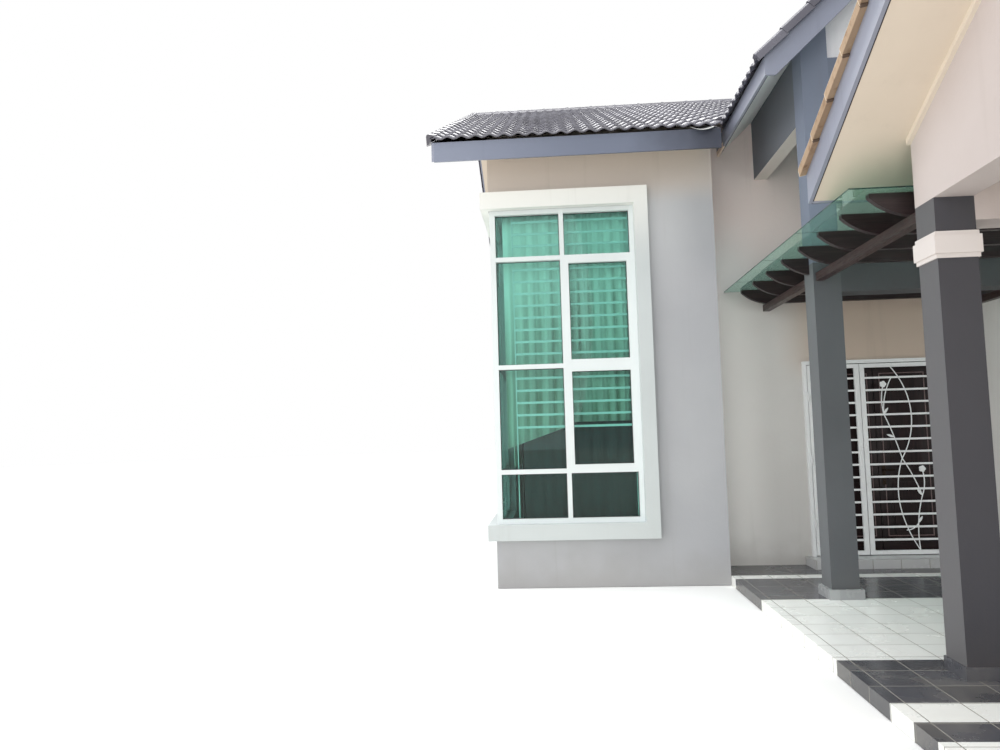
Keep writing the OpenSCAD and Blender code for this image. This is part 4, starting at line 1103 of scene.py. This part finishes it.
def corner_panes(length):
    """Clear opening of every pane of one face: X from, Z from, X to, Z to."""
    middle, half = length / 2, outer_w / 2
    levels = [corner_low + outer_w - half, *transoms, corner_top - outer_w + half]
    for row in range(4):
        z0, z1 = levels[row] + half, levels[row + 1] - half
        yield outer_w, z0, middle - half, z1
        if row in (1, 2):
            yield middle + half + sash_w, z0 + sash_w, length - outer_w - sash_w, z1 - sash_w
        else:
            yield middle + half, z0, length - outer_w, z1


gasket, gasket_deep = 0.006, 0.005
bm = bmesh.new()
for side in (-1, 1):
    for face, length in (("front", front_length), ("side", side_length)):
        for x0, z0, x1, z1 in corner_panes(length):
            y0, y1 = glass_face - gasket_deep, glass_face
            for low, high in (((x0, y0, z0), (x1, y1, z0 + gasket)),
                              ((x0, y0, z1 - gasket), (x1, y1, z1)),
                              ((x0, y0, z0 + gasket), (x0 + gasket, y1, z1 - gasket)),
                              ((x1 - gasket, y0, z0 + gasket), (x1, y1, z1 - gasket))):
                add_bar(bm, *corner_place(side, face, low, high))
rubber = mottled("black_gasket_rubber", tint(38, 40, 42), tint(58, 60, 62), 60.0, 2.0, 0.6)[0]
finish_piece(bm, "window_gaskets", rubber)

bar_high, bar_thick, bar_back, bar_start, bar_ease = 0.026, 0.010, 0.105, 0.24, 0.001
bar_step, bar_from, bar_clear, bar_end = 0.1375, 1.744, 0.06, 0.02
thin_strap, strap = 0.012, 0.025
bm = bmesh.new()
for side in (-1, 1):
    for end, wide in ((bar_start, thin_strap), (front_length - bar_clear, strap)):
        add_bar(bm, *corner_place(side, "front", (end, bar_back + bar_thick, corner_low),
                                  (end + wide, bar_back + 2 * bar_thick, corner_top)),
                soften=bar_ease)
    level = bar_from
    while level < corner_top - bar_clear:
        add_bar(bm, *corner_place(side, "front", (bar_start, bar_back, level - bar_high / 2),
                                  (front_length - bar_end, bar_back + bar_thick,
                                   level + bar_high / 2)), soften=bar_ease)
        level += bar_step
finish_piece(bm, "corner_window_bars", aluminium)

# Curtains: pale woven polyester, gathered on a rail above each corner window,
# drawn shut down to just under eye level, with painted shade in the folds and
# lower down, and a dark cloth of painted shade behind the lower panes. The plain
# windows have one short curtain each.
rail_rise, rail_round, rail_sides, rail_back = 0.075, 0.011, 12, 0.215
rail_level = corner_top + rail_rise
cloth_thick, cloth_below_rail, cloth_step = 0.0012, 0.012, 0.009
fold_pitch, fold_deep, fold_drift, ripple_pitch, ripple_deep = 0.142, 0.028, 0.016, 0.047, 0.006
gather_span = 0.09


def fold(along, height, seed):
    """How far the cloth stands off its line there, in metres."""
    wander = noise.noise(Vector((along * 2.3, height * 0.35, seed)))
    drift = noise.noise(Vector((along * 5.5, height * 0.15, seed + 9)))
    wide = math.sin(2 * math.pi * along / fold_pitch + 3.0 * wander + 2.6 * drift + seed)
    fine = math.sin(2 * math.pi * along / ripple_pitch + 5.0 * wander + 2 * seed)
    slack = 0.3 + 0.7 * min(max((along - 0.32) / 0.3, 0), 1)
    slack *= 1 - 0.5 * min(max((height - 3.2) / 0.5, 0), 1)
    return slack * ((fold_deep + fold_drift * drift) * wide + ripple_deep * fine)


def hang(name, finish, x0, x1, rail_at, hem, at, seed):
    """Cloth between two places along a rail at that level. hem gives its lower edge
    there and at turns a place along, off and up into the row frame."""
    bm = bmesh.new()
    top = rail_at - cloth_below_rail
    across = int((x1 - x0) / cloth_step)
    bmesh.ops.create_grid(bm, x_segments=across, y_segments=14, size=0.5)
    gather = bm.verts.layers.float.new("gather")
    for v in bm.verts:
        along = x0 + (v.co.x + 0.5) * (x1 - x0)
        low = hem(along)
        height = low + (v.co.y + 0.5) * (top - low)
        off = fold(along, height, seed)
        v[gather] = 0.5 + off / gather_span
        v.co = at(along, off, height)
    area = sum(f.calc_area() for f in bm.faces)
    for face in bm.faces:
        face.smooth = True
    cloth = set_in_scene(bm, name, finish)
    thick = cloth.modifiers.new("cloth_thickness", "SOLIDIFY")
    thick.thickness = cloth_thick
    thick.offset = 0
    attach(cloth, "house")


def woven(name, light, shade_side, shaded_low, sheen):
    """Thin plain-woven cloth: the folds that lie back look deeper in colour, partly
    where it is gathered double and partly as painted shade, and it darkens lower
    down with more painted shade."""
    made, tree, shader = new_finish(name)
    where = on_house(tree)
    upright = put(tree, "ShaderNodeMapping", {"Vector": where}, Scale=(34.0, 34.0, 0.5))
    slubs = cloud(tree, upright.outputs[0], 1.0, 3.0)
    gathered = reckon(tree, "MULTIPLY_ADD", slubs, 0.5, carried(tree, "gather"))
    patch = cloud(tree, where, 1.3, 2.0)
    deep = reckon(tree, "MULTIPLY", ramp(tree, gathered, 0.62, 1.15),
                  ramp(tree, patch, 0.30, 0.62))
    # Painted shade: the cloth and its folds grow darker lower down.
    lower = ramp(tree, place_of(tree, "Z"), 3.9, 1.8)
    deep = reckon(tree, "MULTIPLY", deep, reckon(tree, "MULTIPLY_ADD", lower, 0.9, 0.45))
    cloth = mixed(tree, deep, light, shade_side)
    cloth = mixed(tree, reckon(tree, "MULTIPLY", lower, 0.6), cloth, shaded_low)
    tree.links.new(cloth, shader.inputs["Base Color"])
    shader.inputs["Roughness"].default_value = 0.9
    shader.inputs["Sheen Weight"].default_value = sheen
    shader.inputs["Specular IOR Level"].default_value = 0.1
    relief(tree, shader, cloud(tree, where, 900.0, 1.0), 0.0003)
    return made


pale_cloth = woven("pale_curtain_weave", tint(250, 251, 246), tint(158, 168, 158),
                   tint(112, 130, 100), 0.2)
# The dark cloth is painted shade: it stands for the dark room behind the lower panes.
dark_cloth = woven("dark_shade_cloth_weave", tint(70, 72, 76), tint(44, 48, 50),
                   tint(48, 50, 53), 0.0)

rails = bmesh.new()
bracket_half, bracket_shares = 0.006, (0.06, 0.5, 0.94)


def add_rail(start, end, to_wall):
    """Round rail between two places, with brackets that far back to the wall."""
    start, end = Vector(start), Vector(end)
    line = end - start
    made = bmesh.ops.create_cone(rails, cap_ends=True, segments=rail_sides, radius1=rail_round,
                                 radius2=rail_round, depth=line.length)["verts"]
    aim = line.to_track_quat("Z", "Y").to_matrix().to_4x4()
    bmesh.ops.transform(rails, matrix=Matrix.Translation((start + end) / 2) @ aim, verts=made)
    for share in bracket_shares:
        place = start + line * share
        back = place + Vector(to_wall)
        add_bar(rails, [min(a, b) - bracket_half for a, b in zip(place, back)],
                [max(a, b) + bracket_half for a, b in zip(place, back)])


wall_in = 0.15
wall_x, rear_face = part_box("right_side_wall")[1].x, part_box("rear_wall")[1].y
rail_from, rail_past, side_rail_from = 0.13, 0.16, 0.03
for side in (-1, 1):
    front_y, side_x = wall_face + rail_back, side * (wall_x - rail_back)
    add_rail((side * (wall_x - rail_from), front_y, rail_level),
             (side * (wall_x - front_length - rail_past), front_y, rail_level),
             (0, wall_in - rail_back, 0))
    add_rail((side_x, front_y + side_rail_from, rail_level),
             (side_x, wall_face + side_length + rail_past, rail_level),
             (side * (rail_back - wall_in), 0, 0))

plain_low, plain_top = (corner.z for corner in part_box("plain_window_frames"))
plain_half, plain_back, plain_rail_rise, plain_rail_past = 0.75, 0.22, 0.06, 0.12
plain_rail = plain_top + plain_rail_rise
first_from_rear, window_spacing, rear_windows = 2.3, 3.0, (-2.7, 0.0, 2.7)
plain_at = []
for side in (-1, 1):
    for from_rear in (first_from_rear, first_from_rear + window_spacing):
        plain_at.append(Matrix.Translation((side * wall_x, rear_face - from_rear, 0))
                        @ Matrix.Rotation(math.radians(side * 90), 4, "Z"))
for x in rear_windows:
    plain_at.append(Matrix.Translation((x, rear_face, 0)) @ Matrix.Rotation(math.pi, 4, "Z"))
for place in plain_at:
    reach = plain_half + plain_rail_past
    ends_at = [place @ Vector((x, plain_back, plain_rail)) for x in (-reach, reach)]
    add_rail(*ends_at, place.to_3x3() @ Vector((0, wall_in - plain_back, 0)))
finish_piece(rails, "curtain_rails", aluminium)


def inside(side, face, back, slack=1.0):
    """Turner of places on a cloth that hangs that far behind a face of a corner
    window; slack is how much of its folds it keeps."""
    def at(along, off, height):
        depth = back + off * slack
        x, y = (along, depth) if face == "front" else (depth, along)
        return side * (wall_x - x), wall_face + y, height
    return at


def level_hem(level):
    """A hem at one level."""
    def hem(along):
        return level
    return hem


hem_from, hem_run, hem_split = 0.14, 0.66, 0.815
hem_low, hem_high, hem_level = 1.507, 1.735, 1.792


def front_hem(along):
    """The pulled-up cloth rises along its hem; the next one hangs level."""
    share = min(max((along - hem_from) / hem_run, 0), 1)
    slant = hem_low + (hem_high - hem_low) * share
    return slant if along < hem_split else hem_level


side_hem, shade_cloth_hem, shade_cloth_back, shade_cloth_slack, cloth_past = 1.30, 0.42, 0.075, 0.25, 0.15
side_start, shade_cloth_start, side_shade_cloth_start = (rail_back + d for d in (0.09, 0.10, 0.16))
for side, word in ((-1, "left"), (1, "right")):
    for face, start, length, hem, seed in (
            ("front", hem_from, front_length, front_hem, 1.7),
            ("side", side_start, side_length, level_hem(side_hem), 4.1)):
        hang(f"{word}_{face}_curtain", pale_cloth, start, length + cloth_past, rail_level, hem,
             inside(side, face, rail_back), seed)
    # A dark cloth of painted shade hangs behind each pale curtain, down to the lower panes.
    for face, start, length, seed in (("front", shade_cloth_start, front_length, 2.9),
                                      ("side", side_shade_cloth_start, side_length, 5.3)):
        hang(f"{word}_{face}_shade_cloth", dark_cloth, start, length + cloth_past, rail_level,
             level_hem(shade_cloth_hem), inside(side, face, rail_back + shade_cloth_back, shade_cloth_slack),
             seed)

plain_past, plain_drop = 0.1, 0.12
for number, place in enumerate(plain_at):
    def at(along, off, height, place=place):
        return place @ Vector((along, plain_back + off, height))
    hang(f"plain_curtain_{number + 1}", pale_cloth, -plain_half - plain_past,
         plain_half + plain_past, plain_rail, level_hem(plain_low - plain_drop), at,
         number + 0.5)

# Plain window bars: flat bars and straps of the same aluminium, screwed inside
# each plain window as in the corner windows.
first_bar, last_bar = 0.07, 0.03
bm = bmesh.new()
for place in plain_at:
    made = []
    for x in (-plain_half + 2 * strap, plain_half - 3 * strap):
        made += add_bar(bm, (x, bar_back + bar_thick, plain_low),
                        (x + strap, bar_back + 2 * bar_thick, plain_top))
    level = plain_low + first_bar
    while level < plain_top - last_bar:
        made += add_bar(bm, (-plain_half, bar_back, level - bar_high / 2),
                        (plain_half, bar_back + bar_thick, level + bar_high / 2))
        level += bar_step
    bmesh.ops.transform(bm, matrix=place, verts=made)
finish_piece(bm, "plain_window_bars", aluminium)

# Front door: a welded steel grille in white enamel outside two leaves of
# varnished hardwood with raised panels. The rails of the leaves are grained
# across and the stiles and panels upright.
enamel, tree, shader = new_finish("white_grille_enamel")
where = on_house(tree)
colour = mixed(tree, cloud(tree, where, 5.0, 4.0), tint(252, 253, 254), tint(236, 238, 239))
colour = mixed(tree, reckon(tree, "MULTIPLY", ramp(tree, cloud(tree, where, 55.0, 5.0), 0.62, 0.8),
                            0.4), colour, tint(150, 138, 124))
colour_and_gloss(tree, shader, colour, cloud(tree, where, 30.0, 2.0), 0.15, 0.25)
relief(tree, shader, cloud(tree, where, 200.0, 2.0), 0.0006)
dress(enamel, "grille_frame", "grille_leaf_narrow", "grille_leaf_wide")

varnished, tree, shader = new_finish("varnished_door_timber")
leaf_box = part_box("timber_leaf_right")
rail_wide, lock_middle = 0.12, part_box("house_floor")[1].z + 0.9
across = 0.0
for middle in (leaf_box[0].z + rail_wide / 2, lock_middle, leaf_box[1].z - rail_wide / 2):
    off = reckon(tree, "ABSOLUTE", reckon(tree, "SUBTRACT", place_of(tree, "Z"), middle))
    across = reckon(tree, "MAXIMUM", across, reckon(tree, "LESS_THAN", off, rail_wide / 2))
pick = put(tree, "ShaderNodeMix", data_type="VECTOR")
tree.links.new(across, pick.inputs[0])
tree.links.new(grain_along(tree, "Z"), pick.inputs[4])
tree.links.new(grain_along(tree, "X"), pick.inputs[5])
grain = place_group(tree, grained, Along=pick.outputs[1])
colour = mixed(tree, grain["Figure"], tint(30, 20, 22), tint(46, 30, 31))
colour = mixed(tree, reckon(tree, "MULTIPLY", grain["Pores"], 0.5), colour, tint(20, 13, 14))
colour_and_gloss(tree, shader, colour, grain["Pores"], 0.15, 0.40)
shader.inputs["Specular IOR Level"].default_value = 0.25
shader.inputs["Coat Weight"].default_value = 0.15
shader.inputs["Coat Roughness"].default_value = 0.05
relief(tree, shader, grain["Pores"], 0.0006, 0.5)
dress(varnished, "timber_door_frame", "timber_leaf_left", "timber_leaf_right")

# Planted beads: a slim frame of hardwood pinned to the outer face of each timber
# leaf, which carries it; its pale colour is painted highlight along the panel edges.
bead_wide, bead_proud, bead_ease = 0.012, 0.005, 0.0015
bead_inner, bead_outer, bead_low, bead_top = 0.065, 0.578, 0.388, 2.270
leaf_front = leaf_box[0].y
# Painted highlight: the beads are paler than the door.
bead_highlight = timbered("beads_with_painted_highlight", tint(112, 92, 92), tint(132, 112, 110), "Z")
for side, word in ((-1, "left"), (1, "right")):
    bm = bmesh.new()
    for x0, z0, x1, z1 in (
            (bead_inner, bead_low, bead_inner + bead_wide, bead_top),
            (bead_outer - bead_wide, bead_low, bead_outer, bead_top),
            (bead_inner + bead_wide, bead_low, bead_outer - bead_wide, bead_low + bead_wide),
            (bead_inner + bead_wide, bead_top - bead_wide, bead_outer - bead_wide, bead_top)):
        add_bar(bm, (min(side * x0, side * x1), leaf_front - bead_proud, z0),
                (max(side * x0, side * x1), leaf_front, z1), soften=bead_ease)
    finish_piece(bm, f"door_beads_{word}", bead_highlight,
                 body=f"timber_leaf_{word}_body")

# Lever handles and key plates of dark bronze, one set on each face of the
# right-hand timber leaf beside the meeting stile.
bronze, tree, shader = new_finish("dark_bronze")
strokes = put(tree, "ShaderNodeMapping", {"Vector": on_house(tree)}, Scale=(20.0, 200.0, 600.0))
brushed = cloud(tree, strokes.outputs[0], 1.0, 2.0)
colour_and_gloss(tree, shader, mixed(tree, brushed, tint(46, 38, 34), tint(60, 51, 44)),
                 brushed, 0.2, 0.24)
shader.inputs["Metallic"].default_value = 1.0
handle_x, handle_z, leaf_thick = leaf_box[0].x + 0.055, lock_middle, 0.042
plate_half, plate_reach, plate_thick, plate_ease = 0.020, 0.12, 0.006, 0.002
lever_up, lever_half, lever_long, lever_ease = 0.05, 0.009, 0.115, 0.004
lever_near, lever_far, neck_long = 0.034, 0.048, 0.045
key_down, key_round, key_tip, key_deep, key_out = 0.06, 0.011, 0.010, 0.010, 0.007


def add_slab(bm, x0, x1, z0, z1, near, far, soften):
    """A bar on the door between two depths, given in either order."""
    add_bar(bm, (x0, min(near, far), z0), (x1, max(near, far), z1), soften=soften)


def add_stub(bm, middle, segments, base, tip, depth):
    """A round stub that stands out from the door."""
    made = bmesh.ops.create_cone(bm, cap_ends=True, segments=segments, radius1=base,
                                 radius2=tip, depth=depth)["verts"]
    lie = Matrix.Translation(middle) @ Matrix.Rotation(math.pi / 2, 4, "X")
    bmesh.ops.transform(bm, verts=made, matrix=lie)


bm = bmesh.new()
for face_y, out in ((leaf_front, -1), (leaf_front + leaf_thick, 1)):
    add_slab(bm, handle_x - plate_half, handle_x + plate_half, handle_z - plate_reach,
             handle_z + plate_reach, face_y, face_y + out * plate_thick, plate_ease)
    lever_z = handle_z + lever_up
    add_stub(bm, (handle_x, face_y + out * neck_long / 2, lever_z), 16, lever_half, lever_half,
             neck_long)
    add_slab(bm, handle_x - lever_half, handle_x + lever_long, lever_z - lever_half,
             lever_z + lever_half, face_y + out * lever_near, face_y + out * lever_far,
             lever_ease)
    add_stub(bm, (handle_x, face_y + out * key_out, handle_z - key_down), 20, key_round,
             key_tip, key_deep)
finish_piece(bm, "timber_door_handles", bronze, body="timber_leaf_right_body")
